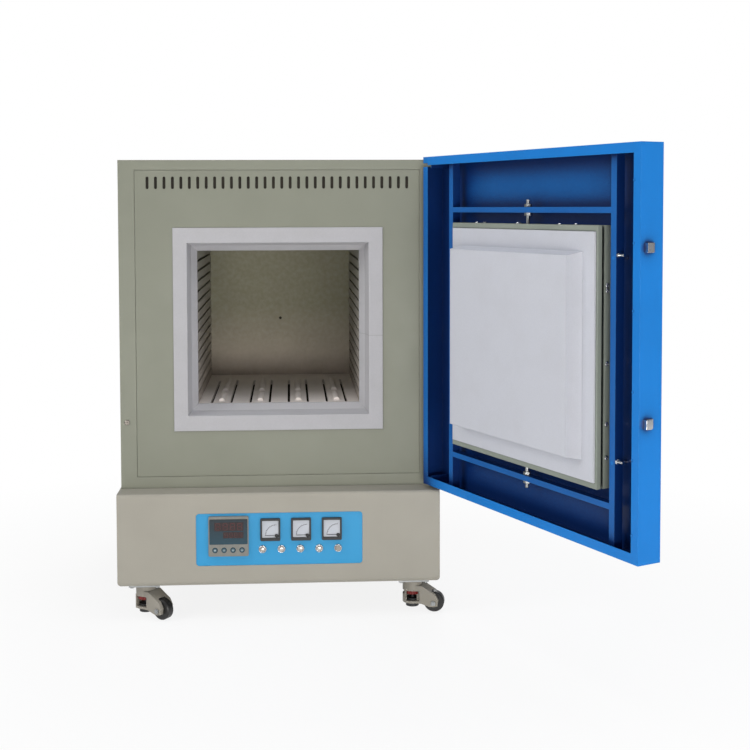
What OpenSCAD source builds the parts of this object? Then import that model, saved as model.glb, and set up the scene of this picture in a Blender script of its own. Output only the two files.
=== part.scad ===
// Box muffle furnace on levelling casters: slotted fibre chamber, hinged tray door with a
// suspended plug, and a control base. Millimetres, +Z up, -Y is the front.

/* [Casing] */
// Outside width of the upper casing
casing_w = 770; // [740:10:860]
// Outside height of the upper casing
casing_h = 800; // [780:10:900]
// Outside depth of the upper casing
casing_d = 820; // [790:10:920]
// Sheet thickness of casing, base and door
sheet = 2; // [1.5:0.5:3]
// Width of the casing's face beside the front panel
face_side = 39; // [34:1:50]
// Width of the casing's face above the front panel
face_top = 24; // [18:1:30]
// Width of the casing's face below the front panel
face_bottom = 28; // [22:1:34]
// Seam between the front panel and the casing's face
seam = 1.2; // [0.8:0.2:2]
// Overlap of the casing's flange behind the front panel
flange = 12; // [8:1:18]
// Height of the side screw's hole above the casing's bottom
face_screw_up = 163; // [120:1:200]
// Side screw's hole in from the casing's side
face_screw_in = 16; // [12:1:26]

/* [Vents] */
// Number of vent slots in a row
vent_count = 32; // [20:1:34]
// Plain panel left beside the outermost vent's middle
vent_margin = 31.4; // [28:0.2:60]
// Width of one vent slot
vent_w = 7; // [5:0.5:9]
// Height of one vent slot
vent_h = 30; // [20:1:40]
// Top of the vent slots below the casing's top
vent_drop = 40; // [34:1:50]

/* [Chamber] */
// Clear width of the heating chamber
chamber_w = 400; // [360:10:420]
// Clear height of the heating chamber
chamber_h = 380; // [340:10:400]
// Depth of the heating chamber behind the collar
chamber_d = 500; // [440:10:520]
// Chamber floor above the casing's bottom
chamber_lift = 198; // [180:1:210]
// Thickness of the chamber's fibre boards
board_t = 60; // [50:1:70]
// Height of the narrow element slots
slot_h = 6; // [4:0.5:8]
// Depth of a slot from the wall to the channel's axis
slot_deep = 18; // [15:1:24]
// Radius of the round element channels
channel_r = 9.5; // [8:0.5:10.5]
// Number of element slots in each side wall
side_slots = 14; // [8:1:14]
// Number of element slots in the floor
floor_slots = 8; // [4:2:8]
// Distance between the floor slots
floor_pitch = 48; // [40:1:50]
// Solid board left behind the floor slots
floor_slot_end = 108; // [60:1:140]
// Radius of the heating coils
coil_r = 6.5; // [5:0.5:7]
// Radius of the coils' terminal rods
terminal_r = 4; // [3:0.5:5]
// Radius of the thermocouple's sheath
sheath_r = 4; // [3:0.5:6]
// Thermocouple above the chamber floor
sheath_lift = 165; // [120:5:200]

/* [Mouth] */
// Width of the fibre collar
collar_w = 510; // [500:2:530]
// Height of the fibre collar
collar_h = 496; // [480:2:510]
// Depth of the collar behind the casing's front
collar_d = 59; // [50:1:70]
// Collar standing proud of the casing's front
collar_proud = 2.4; // [1:0.2:2.6]
// Plain rim around the collar's bevel
rim = 34; // [28:1:40]
// Narrowing of each side over the first bevel
bevel_in = 7; // [4:1:9]
// Depth of the step between the two bevels
bevel_d = 37; // [32:1:44]

/* [Door] */
// Door's edge beyond the casing's side
door_side = 0; // [0:1:4]
// Door's top above the casing's top
door_rise = 5; // [0:1:10]
// Thickness of the door tray
door_t = 55; // [48:1:65]
// Door's bottom above the casing's bottom
door_lift = 9; // [8:1:14]
// Gap between the closed door and the casing
door_gap = 3; // [2.8:0.2:5]
// Width of the tray's inner lip
lip = 20; // [16:1:28]
// Opening angle at which the door stands
door_open = 115; // [90:1:120]
// Hinge pin in from the door's hinge end
pin_in = 9; // [8:0.5:12]
// Hinge pin behind the door's inner face
pin_deep = 22; // [20:1:26]
// Radius of the hinge pins
pin_r = 5; // [4:0.5:6]
// Thickness of the hinge leaves
leaf_t = 5; // [4:0.5:6]
// Gap between the plug carrier and the door's posts
post_gap = 21; // [18:1:26]
// Width of the door's posts
post_w = 16; // [12:1:20]
// Height of the door's cross-bars
bar_h = 12; // [8:1:16]
// Depth of posts and bars
frame_d = 20; // [16:1:24]
// Posts and bars below the door's inner face
frame_sunk = 18; // [15:1:20]
// Cross-bar's distance from the plug carrier
bar_gap = 24; // [18:1:30]

/* [Plug] */
// Height of the plug above its backing board
plug_h = 35; // [28:1:36]
// Clearance between plug and mouth on each side
plug_clear = 3; // [2:0.5:6]
// Width of the carrier's rim around the board
carrier_rim = 6; // [4:1:8]
// Height of the carrier's rim above and below the board
carrier_rim_z = 12; // [8:1:14]
// Thickness of the white backing board
plate_t = 12; // [10:1:14]
// Depth of the carrier's front tray
front_tray = 10; // [8:1:12]
// Gap between the carrier's two trays
tray_gap = 6; // [4:1:8]
// Depth of the carrier's rear tray
rear_tray = 18; // [14:1:20]
// Radius of the suspension studs
stud_r = 4; // [3:0.5:5]

/* [Handle and latches] */
// Distance between the handle's bolts
handle_l = 400; // [300:10:460]
// Handle's centre above the casing's bottom
handle_lift = 385; // [340:5:430]
// Clear finger gap behind the handle
finger_gap = 38; // [32:1:50]
// Radius of the handle bar
grip_r = 9; // [7:0.5:12]
// Upper latch above the casing's bottom
latch_high = 608; // [560:2:640]
// Lower latch above the casing's bottom
latch_low = 277; // [240:2:320]
// Latch plate behind the casing's front
latch_back = 74; // [70:1:90]
// Radius of the latch bail's wire
wire_r = 1.5; // [1.2:0.1:1.8]

/* [Base] */
// Base's side beyond the casing's side
base_lap = 3; // [1:0.5:6]
// Height of the base
base_h = 224; // [200:2:260]
// Base standing proud of the casing's front
base_proud = 64; // [50:1:80]
// Fold radius of the base's lower edges
fold_r = 12; // [8:1:16]
// Fold radius of the base's upper front edge
top_fold_r = 7; // [4:1:10]

/* [Controls] */
// Width of the fascia's visible face
fascia_w = 400; // [400:2:480]
// Height of the fascia's visible face
fascia_h = 127; // [124:1:150]
// Fascia's centre above the base's bottom
fascia_lift = 112; // [100:1:120]
// Corner radius of the fascia
fascia_r = 8; // [4:1:14]
// Side of the square temperature controller
control_w = 96; // [92:1:98]
// Controller's centre left of the fascia's centre
control_x = 122; // [116:1:130]
// Width of one meter
meter_w = 48; // [44:1:52]
// Height of one meter
meter_h = 54; // [50:1:56]
// Distance between the meters
meter_pitch = 74; // [66:1:78]
// Distance between the buttons
button_pitch = 45.5; // [40:0.5:47]
// Outer radius of the button bezels
bezel_r = 10; // [8:0.5:11]
// Radius of the push buttons
button_r = 6.8; // [5:0.1:7]
// Travel of the push buttons
button_travel = 3; // [2:0.5:4]
// Depth of the buttons' bodies behind the fascia
button_deep = 22; // [18:1:30]
// Depth of the meters' bodies behind the fascia
meter_deep = 34; // [28:1:50]
// Radius of the controller's keys
key_r = 4; // [3:0.5:5]

/* [Power unit and cable] */
// Cable gland in from the side of the base
gland_in = 138; // [80:1:200]
// Width of the power regulator's heat sink
sink_w = 180; // [120:2:240]
// Depth of the power regulator's heat sink
sink_d = 220; // [160:2:280]
// Height of the heat sink's fins
fin_h = 44; // [30:1:60]
// Width of the transformer
trafo_w = 120; // [90:2:160]
// Depth of the transformer
trafo_d = 140; // [100:2:180]
// Height of the transformer
trafo_h = 108; // [80:2:130]
// Space between the base's rear cover and the transformer
trafo_back = 120; // [80:2:200]

/* [Casters] */
// Height of the casters from floor to base
caster_h = 84; // [80:1:100]
// Caster's axis in from the side of the base
caster_in = 62; // [58:1:90]
// Front caster's axis behind the base's front
caster_back = 49; // [46:1:90]
// Radius of the wheels
wheel_r = 25; // [22:1:26]
// Width of the wheels
wheel_w = 22; // [18:1:26]
// Wheel's axle behind the swivel axis
trail = 54; // [52:1:60]
// Radius of the wheel axles
axle_r = 4; // [3:0.5:5]
// Radius of the levelling dials
dial_r = 19; // [16:0.5:20]
// Height of the levelling dials
dial_h = 9; // [7:0.5:10]
// Radius of the levelling feet
foot_r = 16; // [13:0.5:17]
// Radius of the feet's threaded stems
stem_r = 5; // [4:0.5:6]
// Travel of the levelling feet
foot_travel = 10; // [6:1:11]

/* [Fits] */
// Clearance between parts that only pass each other
clear = 0.3; // [0.2:0.05:0.5]
// Radial clearance of pins and shafts
run_fit = 0.05; // [0.02:0.01:0.1]
// Joint left between pieces of one assembly that lie on each other
seat = 0.05; // [0.02:0.01:0.1]

/* [Hidden] */
$fn = 64;
eps = 0.01;
casing_z = caster_h + base_h;
casing_top = casing_z + casing_h;
base_w = casing_w + 2 * base_lap;
panel_w = casing_w - 2 * face_side;
panel_h = casing_h - face_top - face_bottom;
vent_pitch = (panel_w - 2 * vent_margin) / (vent_count - 1);
chamber_z = casing_z + chamber_lift;
chamber_top = chamber_z + chamber_h;
mouth_mid = chamber_z + chamber_h / 2;
chamber_end = collar_d + chamber_d;
side_pitch = chamber_h / (side_slots + 1);
mouth_w = collar_w - 2 * rim;
mouth_h = collar_h - 2 * rim - 6;
step_w = mouth_w - 2 * bevel_in;
step_h = mouth_h - 2 * bevel_in;
jacket_end = chamber_end + board_t + 60;
door_w = casing_w + 2 * door_side;
door_h = casing_h - door_lift + door_rise;
door_z = casing_z + door_lift;
door_y = -door_gap - door_t;
hinge_x = door_w / 2 - pin_in;
hinge_y = -door_gap - pin_deep;
carrier_w = collar_w - 2 + 2 * carrier_rim;
carrier_h = collar_h + 2 * carrier_rim_z;
front_tray_y = -door_gap - 4;
rear_tray_y = front_tray_y - front_tray - tray_gap;
bar_y = -door_gap - frame_sunk - frame_d / 2;
post_x = carrier_w / 2 + post_gap + post_w / 2;
leaf_w = 2 * pin_r + 8;
leaf_drop = 22;
notch_gap = 2;
notch_deep = leaf_w + 6;
handle_x = -post_x;
handle_bolt_r = 4;
handle_y = door_y - finger_gap - grip_r;
standoff_r = 7;
keeper_deep = 21;
keeper_w = 18;
keeper_proud = 10;
keeper_l = 22;
keeper_t = 3;
latch_heights = [latch_high, latch_low];
latch_axis = 5;
lever_l = 55;
bail_pivot = 16;
bail_w = 24;
bail_reach = latch_back + bail_pivot + door_gap + keeper_deep + keeper_l / 2 - 2;
base_front = -base_proud;
fascia_z = caster_h + fascia_lift;
fascia_y = base_front + sheet;
control_z = fascia_z + 9;
control_t = 8;
meter_t = 7;
meter_x = [for (i = [0:2]) -22 + i * meter_pitch];
meter_z = fascia_z + 23;
meter_r = 18;
needle_l = 25;
button_x = [for (i = [0:4]) -41 + i * button_pitch];
button_z = fascia_z - 25;
key_x = [for (i = [0:3]) -control_x + (i - 1.5) * 21.5];
key_z = control_z - control_w / 2 + 15;
caster_x = base_w / 2 - caster_in;
caster_front = base_front + caster_back;
caster_rear = casing_d - caster_back;
caster_at = [
    [-caster_x, caster_front, -35],
    [caster_x, caster_front, -13],
    [-caster_x, caster_rear, 25],
    [caster_x, caster_rear, 155]
];
caster_plate_t = 4;
caster_plate_w = 74;
fork_top = caster_h - caster_plate_t - clear;
fork_w = wheel_w + 22;
dial_z = 43;
foot_z = 12;
gland_r = 6.5;
gland_x = base_w / 2 - gland_in;
gland_z = caster_h + 60;
gland_out = 22;
fin_pitch = 17;
fin_t = 6;
sink_t = 20;
trafo_y = casing_d - trafo_back - trafo_d;
sink_y = trafo_y - 40 - sink_d;
latch_plate_l = 60;
latch_plate_h = 28;
latch_ear_l = 30;
// Plan position of a point of the closed door once the door stands open
function swung(x, y) = [
    hinge_x + (x - hinge_x) * cos(door_open) - (y - hinge_y) * sin(door_open),
    hinge_y + (x - hinge_x) * sin(door_open) + (y - hinge_y) * cos(door_open)
];
grip_at = swung(handle_x, handle_y);
far_corner = swung(-door_w / 2, -door_gap);
keeper_at = swung(-door_w / 2 - keeper_proud, -door_gap - keeper_deep + keeper_l / 2);
span_x = [-casing_w / 2 - latch_axis * 2, max(grip_at[0] + grip_r, swung(-door_w / 2, door_y)[0])];
span_y = [min(far_corner[1], keeper_at[1]), casing_d + gland_out];
mid = [(span_x[0] + span_x[1]) / 2, (span_y[0] + span_y[1]) / 2];

// Shared helpers

// Moves the furnace so that its origin is under the middle of its outline
module place() {
    translate([-mid[0], -mid[1], 0])
        children();
}

// Turns what is drawn on the closed door to where the door stands
module on_door() {
    place()
        translate([hinge_x, hinge_y, 0])
            rotate([0, 0, door_open])
                translate([-hinge_x, -hinge_y, 0])
                    children();
}

// Box centred in X, from y0 to y1 and z0 to z1
module slab(w, y0, y1, z0, z1) {
    translate([-w / 2, y0, z0])
        cube([w, y1 - y0, z1 - z0]);
}

// Cylinder along +Y
module rod_y(r, y0, y1, x = 0, z = 0) {
    translate([x, y0, z])
        rotate([-90, 0, 0])
            cylinder(r = r, h = y1 - y0);
}

// Cylinder along +Z
module rod_z(r, z0, z1, x = 0, y = 0) {
    translate([x, y, z0])
        cylinder(r = r, h = z1 - z0);
}

// Rectangle with round corners in the XZ plane, from y0 to y1
module round_slab(w, h, r, y0, y1, x = 0, z = 0) {
    translate([x, y1, z])
        rotate([90, 0, 0])
            linear_extrude(y1 - y0)
                union() {
                    square([w - 2 * r, h], center = true);
                    square([w, h - 2 * r], center = true);
                    for (sx = [-1, 1], sz = [-1, 1])
                        translate([sx * (w / 2 - r), sz * (h / 2 - r)])
                            circle(r = r);
                }
}

// Block whose rectangle changes from w0 x h0 at y0 to w1 x h1 at y1, centred on height z
module taper(w0, h0, y0, w1, h1, y1, z) {
    polyhedron(
        points = [
            [-w0 / 2, y0, z - h0 / 2], [w0 / 2, y0, z - h0 / 2],
            [w0 / 2, y0, z + h0 / 2], [-w0 / 2, y0, z + h0 / 2],
            [-w1 / 2, y1, z - h1 / 2], [w1 / 2, y1, z - h1 / 2],
            [w1 / 2, y1, z + h1 / 2], [-w1 / 2, y1, z + h1 / 2]
        ],
        faces = [
            [3, 2, 1, 0], [4, 5, 6, 7], [1, 5, 4, 0], [2, 6, 5, 1], [3, 7, 6, 2], [0, 4, 7, 3]
        ]
    );
}

// Row of upright vent slots with round ends, cut from y0 to y1
module vents(count, pitch, w, h, y0, y1, z_top) {
    for (i = [0:count - 1])
        round_slab(w, h, w / 2 - eps, y0, y1, (i - (count - 1) / 2) * pitch, z_top - h / 2);
}

// Upper casing

module casing_shell() {
    color("#9a9b8b")
        place()
            difference() {
                slab(casing_w, 0, casing_d, casing_z, casing_top);
                slab(casing_w - 2 * sheet, 2 * sheet, casing_d + 1, casing_z + sheet, casing_top - sheet);
                slab(panel_w, -1, sheet, casing_z + face_bottom, casing_top - face_top);
                slab(panel_w - 2 * flange, -1, 3 * sheet, casing_z + face_bottom + flange,
                    casing_top - face_top - flange);
                rod_y(2, -1, sheet, -casing_w / 2 + face_screw_in, casing_z + face_screw_up);
            }
}

module front_panel() {
    color("#999a8a")
        place()
            difference() {
                slab(panel_w - 2 * seam, 0, sheet, casing_z + face_bottom + seam,
                    casing_top - face_top - seam);
                slab(collar_w + 2 * clear, -1, sheet + 1, mouth_mid - collar_h / 2 - clear,
                    mouth_mid + collar_h / 2 + clear);
                vents(vent_count, vent_pitch, vent_w, vent_h, -1, sheet + 1, casing_top - vent_drop);
            }
}

module back_cover() {
    color("#949686")
        place()
            difference() {
                slab(casing_w, casing_d, casing_d + sheet, casing_z, casing_top);
                vents(vent_count - 8, vent_pitch, vent_w, vent_h, casing_d - 1,
                    casing_d + sheet + 1, casing_top - vent_drop);
                vents(vent_count - 8, vent_pitch, vent_w, vent_h, casing_d - 1,
                    casing_d + sheet + 1, casing_z + vent_drop + vent_h);
            }
}

// Heights of the element slots in a side wall
function slot_z(i) = chamber_z + side_pitch * i;
// Places of the element slots in the floor
function slot_x(i) = (i - (floor_slots - 1) / 2) * floor_pitch;

// One slot with the round channel behind it, opening towards +X at x = 0
module slot_and_channel(y0, y1) {
    translate([-slot_deep, y0, -slot_h / 2])
        cube([slot_deep + 1, y1 - y0, slot_h]);
    rod_y(channel_r, y0, y1, -slot_deep, 0);
}

module side_wall(side) {
    mirror([side > 0 ? 1 : 0, 0, 0])
        difference() {
            translate([-chamber_w / 2 - board_t, collar_d + seat, chamber_z - board_t])
                cube([board_t, chamber_d - 2 * seat, chamber_h + board_t - seat]);
            for (i = [1:side_slots])
                translate([-chamber_w / 2, 0, slot_z(i)])
                    slot_and_channel(collar_d + 6, chamber_end + 1);
        }
}

module chamber_walls() {
    color("#c9c8c2")
        place() {
            side_wall(-1);
            side_wall(1);
            slab(chamber_w + 2 * board_t, collar_d + seat, chamber_end - seat, chamber_top,
                chamber_top + board_t);
        }
}

// Half-round hearth support lying on the floor between two slots
module hearth_rib(x, y0, y1) {
    intersection() {
        rod_y(8, y0, y1, x, chamber_z);
        slab(chamber_w, y0, y1, chamber_z + seat, chamber_z + 10);
    }
}

module chamber_floor() {
    color("#c4c1ba")
        place() {
            difference() {
                slab(chamber_w - 2 * seat, collar_d + seat, chamber_end - seat, chamber_z - board_t,
                    chamber_z);
                for (i = [0:floor_slots - 1])
                    translate([slot_x(i), 0, chamber_z])
                        rotate([0, -90, 0])
                            slot_and_channel(collar_d + 6, chamber_end - floor_slot_end);
                for (i = [0:floor_slots - 1])
                    rod_y(terminal_r + clear, collar_d + 6, chamber_end + 1, slot_x(i),
                        chamber_z - slot_deep);
            }
            for (i = [0:2:floor_slots - 2]) {
                hearth_rib(slot_x(i) + floor_pitch / 2, collar_d + 25, collar_d + 130);
                hearth_rib(slot_x(i) + floor_pitch / 2, collar_d + 190, chamber_end - 120);
            }
        }
}

// Places of the terminals where the coils leave through the rear board
module at_terminals() {
    for (side = [-1, 1], i = [1:side_slots])
        translate([side * (chamber_w / 2 + slot_deep), 0, slot_z(i)])
            children();
    for (i = [0:floor_slots - 1])
        translate([slot_x(i), 0, chamber_z - slot_deep])
            children();
}

module chamber_back_wall() {
    color("#b5b2a8")
        place()
            difference() {
                slab(chamber_w + 2 * board_t, chamber_end, chamber_end + board_t,
                    chamber_z - board_t, chamber_top + board_t);
                at_terminals()
                    rod_y(terminal_r + clear, chamber_end - 1, chamber_end + board_t + 1);
                rod_y(sheath_r + clear, chamber_end - 1, chamber_end + board_t + 1, 0,
                    chamber_z + sheath_lift);
            }
}

module mouth_collar() {
    color("#d9d9dc")
        place()
            difference() {
                slab(collar_w, -collar_proud, collar_d, mouth_mid - collar_h / 2,
                    mouth_mid + collar_h / 2);
                taper(mouth_w + 0.4, mouth_h + 0.4, -collar_proud - 1, step_w, step_h, bevel_d,
                    mouth_mid);
                taper(step_w, step_h, bevel_d - eps, chamber_w, chamber_h, collar_d + eps, mouth_mid);
            }
}

module heating_elements() {
    color("#4a4038")
        place() {
            for (side = [-1, 1], i = [1:side_slots])
                translate([side * (chamber_w / 2 + slot_deep), 0, slot_z(i)]) {
                    rod_y(coil_r, collar_d + 8, chamber_end - clear);
                    rod_y(terminal_r, chamber_end - clear, jacket_end + 30);
                }
            for (i = [0:floor_slots - 1])
                translate([slot_x(i), 0, chamber_z - slot_deep]) {
                    rod_y(coil_r, collar_d + 8, chamber_end - floor_slot_end - clear);
                    rod_y(terminal_r, chamber_end - floor_slot_end - clear, jacket_end + 30);
                }
        }
}

module insulation_jacket() {
    color("#e6e2d8")
        place()
            difference() {
                slab(casing_w - 2 * sheet - 2 * clear, 2 * sheet + clear, jacket_end,
                    casing_z + sheet, casing_top - sheet - clear);
                slab(chamber_w + 2 * board_t + 2 * clear, -1, chamber_end + board_t + clear,
                    chamber_z - board_t - clear, chamber_top + board_t + clear);
                at_terminals()
                    rod_y(terminal_r + clear, chamber_end, jacket_end + 1);
                rod_y(sheath_r + clear, chamber_end, jacket_end + 1, 0, chamber_z + sheath_lift);
            }
}

module thermocouple() {
    color("#d8d2c4")
        place() {
            rod_y(sheath_r, chamber_end + 5, jacket_end + 12, 0, chamber_z + sheath_lift);
            difference() {
                rod_y(15, jacket_end + seat, jacket_end + 26, 0, chamber_z + sheath_lift);
                rod_y(sheath_r + seat, jacket_end, jacket_end + 13, 0, chamber_z + sheath_lift);
            }
        }
}

// Control base

module base_body(inset) {
    w = base_w - 2 * inset;
    r = max(fold_r - inset, 1);
    rt = max(top_fold_r - inset, 1);
    z0 = caster_h + inset;
    z1 = casing_z - inset;
    y0 = base_front + inset;
    y1 = casing_d - (inset > 0 ? -1 : 0);
    intersection() {
        translate([0, y1, 0])
            rotate([90, 0, 0])
                linear_extrude(y1 - y0)
                    union() {
                        translate([-w / 2 + r, z0])
                            square([w - 2 * r, z1 - z0]);
                        translate([-w / 2, z0 + r])
                            square([w, z1 - z0 - r]);
                        for (s = [-1, 1])
                            translate([s * (w / 2 - r), z0 + r])
                                circle(r = r);
                    }
        rotate([90, 0, 90])
            translate([0, 0, -w / 2])
                linear_extrude(w)
                    union() {
                        translate([y0 + r, z0])
                            square([y1 - y0 - r, z1 - z0]);
                        translate([y0, z0 + r])
                            square([y1 - y0, z1 - z0 - r - rt]);
                        translate([y0 + rt, z0 + r])
                            square([y1 - y0 - rt, z1 - z0 - r]);
                        translate([y0 + r, z0 + r])
                            circle(r = r);
                        translate([y0 + rt, z1 - rt])
                            circle(r = rt);
                    }
    }
}

module base_shell() {
    color("#aba99b")
        place()
            difference() {
                base_body(0);
                base_body(sheet);
                round_slab(fascia_w, fascia_h, fascia_r, base_front - 1, base_front + sheet + 1, 0,
                    fascia_z);
            }
}

module base_back_cover() {
    color("#a5a396")
        place()
            difference() {
                slab(base_w, casing_d, casing_d + sheet, caster_h, casing_z);
                vents(18, vent_pitch, vent_w, vent_h, casing_d - 1, casing_d + sheet + 1,
                    casing_z - 30);
                rod_y(gland_r + 4 + clear, casing_d - 1, casing_d + sheet + 1, gland_x, gland_z);
            }
}

module cable_gland() {
    color("#2b2b2d")
        place()
            translate([gland_x, 0, gland_z])
                difference() {
                    union() {
                        rod_y(gland_r + 4, casing_d - 12, casing_d + sheet);
                        translate([0, casing_d + sheet, 0])
                            rotate([-90, 30, 0])
                                cylinder(r = gland_r + 8, h = 7, $fn = 6);
                        rod_y(gland_r + 5, casing_d + sheet, casing_d + gland_out);
                        translate([0, casing_d - 6, 0])
                            rotate([-90, 30, 0])
                                cylinder(r = gland_r + 8, h = 6, $fn = 6);
                    }
                    rod_y(gland_r, casing_d - 13, casing_d + gland_out + 1);
                }
}

module power_regulator() {
    color("#3c4248")
        place() {
            fins = floor((sink_w - fin_t) / fin_pitch);
            slab(sink_w, sink_y, sink_y + sink_d, caster_h + sheet, caster_h + sheet + sink_t);
            for (i = [0:fins])
                translate([(i - fins / 2) * fin_pitch - fin_t / 2, sink_y, caster_h + sheet + sink_t])
                    cube([fin_t, sink_d, fin_h]);
            slab(trafo_w, trafo_y, trafo_y + trafo_d, caster_h + sheet, caster_h + sheet + trafo_h);
        }
}

module fascia_panel() {
    color("#4ca6dc")
        place()
            difference() {
                round_slab(fascia_w + 16, fascia_h + 16, fascia_r, fascia_y, fascia_y + sheet, 0,
                    fascia_z);
                slab_hole(control_w - 6, control_w - 6, -control_x, control_z);
                for (x = meter_x)
                    rod_y(meter_r + clear, fascia_y - 1, fascia_y + sheet + 1, x, meter_z);
                for (x = button_x)
                    rod_y(bezel_r - 1.6 + clear, fascia_y - 1, fascia_y + sheet + 1, x, button_z);
            }
}

// Square cut-out through the fascia
module slab_hole(w, h, x, z) {
    translate([x - w / 2, fascia_y - 1, z - h / 2])
        cube([w, sheet + 2, h]);
}

module controller() {
    color("#7d7d78")
        place()
            difference() {
                union() {
                    round_slab(control_w, control_w, 4, fascia_y - control_t, fascia_y, -control_x,
                        control_z);
                    translate([-control_x - 44, fascia_y - eps, control_z - 44])
                        cube([88, 80, 88]);
                }
                round_slab(79, 58, 2, fascia_y - control_t - 1, fascia_y - control_t + 2, -control_x,
                    control_z + 11);
                for (x = key_x)
                    rod_y(key_r + clear, fascia_y - control_t - 1, fascia_y - 2, x, key_z);
            }
}

module controller_key(i) {
    color("#2c2f30")
        place()
            rod_y(key_r, fascia_y - control_t - 1.6, fascia_y - 3.4, key_x[i - 1], key_z);
}

module meter_housings() {
    color("#1d1e20")
        place()
            for (x = meter_x)
                difference() {
                    union() {
                        round_slab(meter_w, meter_h, 3, fascia_y - meter_t, fascia_y, x, meter_z);
                        rod_y(meter_r, fascia_y - eps, fascia_y + meter_deep, x, meter_z);
                    }
                    round_slab(meter_w - 8, meter_h - 12, 2, fascia_y - meter_t - 1,
                        fascia_y - meter_t + 4, x, meter_z + 1);
                    rod_y(1.2 + run_fit, fascia_y - meter_t, fascia_y - 1, x + 14, meter_z - 14);
                }
}

// Needle turning on a short shaft in the lower right corner of its meter
module meter_needle(i) {
    x = meter_x[i - 1] + 14;
    z = meter_z - 14;
    y = fascia_y - meter_t + 1.4;
    color("#1a1a1a")
        place() {
            rod_y(3.2, y, y + 1.6, x, z);
            rod_y(1.2, y, fascia_y - 1.5, x, z);
            translate([x - needle_l, y + 0.3, z - 0.5])
                cube([needle_l, 0.8, 1]);
        }
}

module button_bezels() {
    color("#c9cbcd")
        place()
            for (x = button_x)
                difference() {
                    union() {
                        rod_y(bezel_r, fascia_y - 3, fascia_y, x, button_z);
                        rod_y(bezel_r - 1.6, fascia_y - 4, fascia_y + button_deep, x, button_z);
                    }
                    rod_y(button_r + clear, fascia_y - 5, fascia_y + button_deep - 2, x, button_z);
                }
}

module push_button(i) {
    color(i == 1 ? "#a8322c" : "#d8dadb")
        place()
            rod_y(button_r, fascia_y - 3 - button_travel,
                fascia_y + button_deep - 2 - button_travel - clear,
                button_x[i - 1], button_z);
}

// Turning switch with a short pointer
module lock_switch() {
    color("#5b5a55")
        place()
            union() {
                rod_y(button_r, fascia_y - 5, fascia_y + button_deep - 2 - clear, button_x[4], button_z);
                translate([button_x[4] - 2, fascia_y - 10, button_z - button_r + 1])
                    cube([4, 6, button_r + 6]);
            }
}

// Hinges and latches

// Leaf with its pin; the pin stands on the leaf's upper side
module hinge_leaf(z, pin_h) {
    difference() {
        union() {
            translate([hinge_x - leaf_w / 2, hinge_y, z])
                cube([leaf_w, -hinge_y, leaf_t]);
            rod_z(leaf_w / 2, z, z + leaf_t, hinge_x, hinge_y);
            rod_z(pin_r, z, z + leaf_t + pin_h, hinge_x, hinge_y);
        }
    }
}

module hinge_brackets() {
    color("#8d8f80")
        place() {
            hinge_leaf(door_z - clear - leaf_t, 12);
            hinge_leaf(door_z + door_h - leaf_drop, leaf_drop - leaf_t - sheet / 2);
        }
}

module at_latches() {
    for (h = latch_heights)
        translate([-casing_w / 2, latch_back, casing_z + h])
            children();
}

module latch_bases() {
    color("#c4c6c8")
        place()
            at_latches()
                difference() {
                    union() {
                        translate([-sheet, -8, -latch_plate_h / 2])
                            cube([sheet, latch_plate_l, latch_plate_h]);
                        for (s = [-1, 1])
                            translate([-latch_axis - 3, -5, s * 8.5 - 0.75])
                                cube([latch_axis + 3, latch_ear_l, 1.5]);
                    }
                    translate([-latch_axis, 0, -12])
                        cylinder(r = 1.5 + run_fit, h = 24);
                    translate([-latch_axis, bail_pivot, -12])
                        cylinder(r = wire_r + run_fit, h = 24);
                }
}

module latch_lever(h) {
    color("#b9bbbd")
        place()
            translate([-casing_w / 2, latch_back, casing_z + h])
                union() {
                    translate([-latch_axis, 0, -9.2])
                        cylinder(r = 1.5, h = 18.4);
                    translate([-latch_axis, 0, -7.2])
                        cylinder(r = 2.6, h = 14.4);
                    translate([-latch_axis * 2, 0, -7.2])
                        cube([2, lever_l, 14.4]);
                    translate([-latch_axis * 2, -2.4, -7.2])
                        cube([latch_axis, 3.4, 14.4]);
                }
}

module latch_bail(h) {
    color("#cfd1d3")
        place()
            translate([-casing_w / 2 - latch_axis, latch_back + bail_pivot, casing_z + h])
                union() {
                    for (s = [-1, 1]) {
                        translate([0, 0, s * bail_w / 2])
                            rod_y(wire_r, 0, bail_reach);
                        translate([0, 0, s * (bail_w / 4 + 2) - bail_w / 4 + 2])
                            cylinder(r = wire_r, h = bail_w / 2 - 4);
                        for (y = [0, bail_reach])
                            translate([0, y, s * bail_w / 2])
                                sphere(r = wire_r);
                    }
                    translate([0, bail_reach, -bail_w / 2])
                        cylinder(r = wire_r, h = bail_w);
                }
}

// Door

module door_shell() {
    color("#1e80d8")
        on_door()
            difference() {
                slab(door_w, door_y, -door_gap, door_z, door_z + door_h);
                slab(door_w - 2 * sheet, door_y + sheet, -door_gap - sheet, door_z + sheet,
                    door_z + door_h - sheet);
                slab(door_w - 2 * lip, -door_gap - 2 * sheet, 0, door_z + lip, door_z + door_h - lip);
                rod_z(pin_r + run_fit, door_z - 1, door_z + door_h + 1, hinge_x, hinge_y);
                translate([hinge_x - leaf_w / 2 - notch_gap, hinge_y - notch_deep,
                    door_z + door_h - leaf_drop - notch_gap])
                    cube([leaf_w + pin_in, pin_deep + notch_deep + 1, leaf_t + 2 * notch_gap]);
                for (s = [-1, 1])
                    rod_y(handle_bolt_r + clear, door_y - 1, door_y + sheet + 1, handle_x,
                        casing_z + handle_lift + s * handle_l / 2);
            }
}

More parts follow.
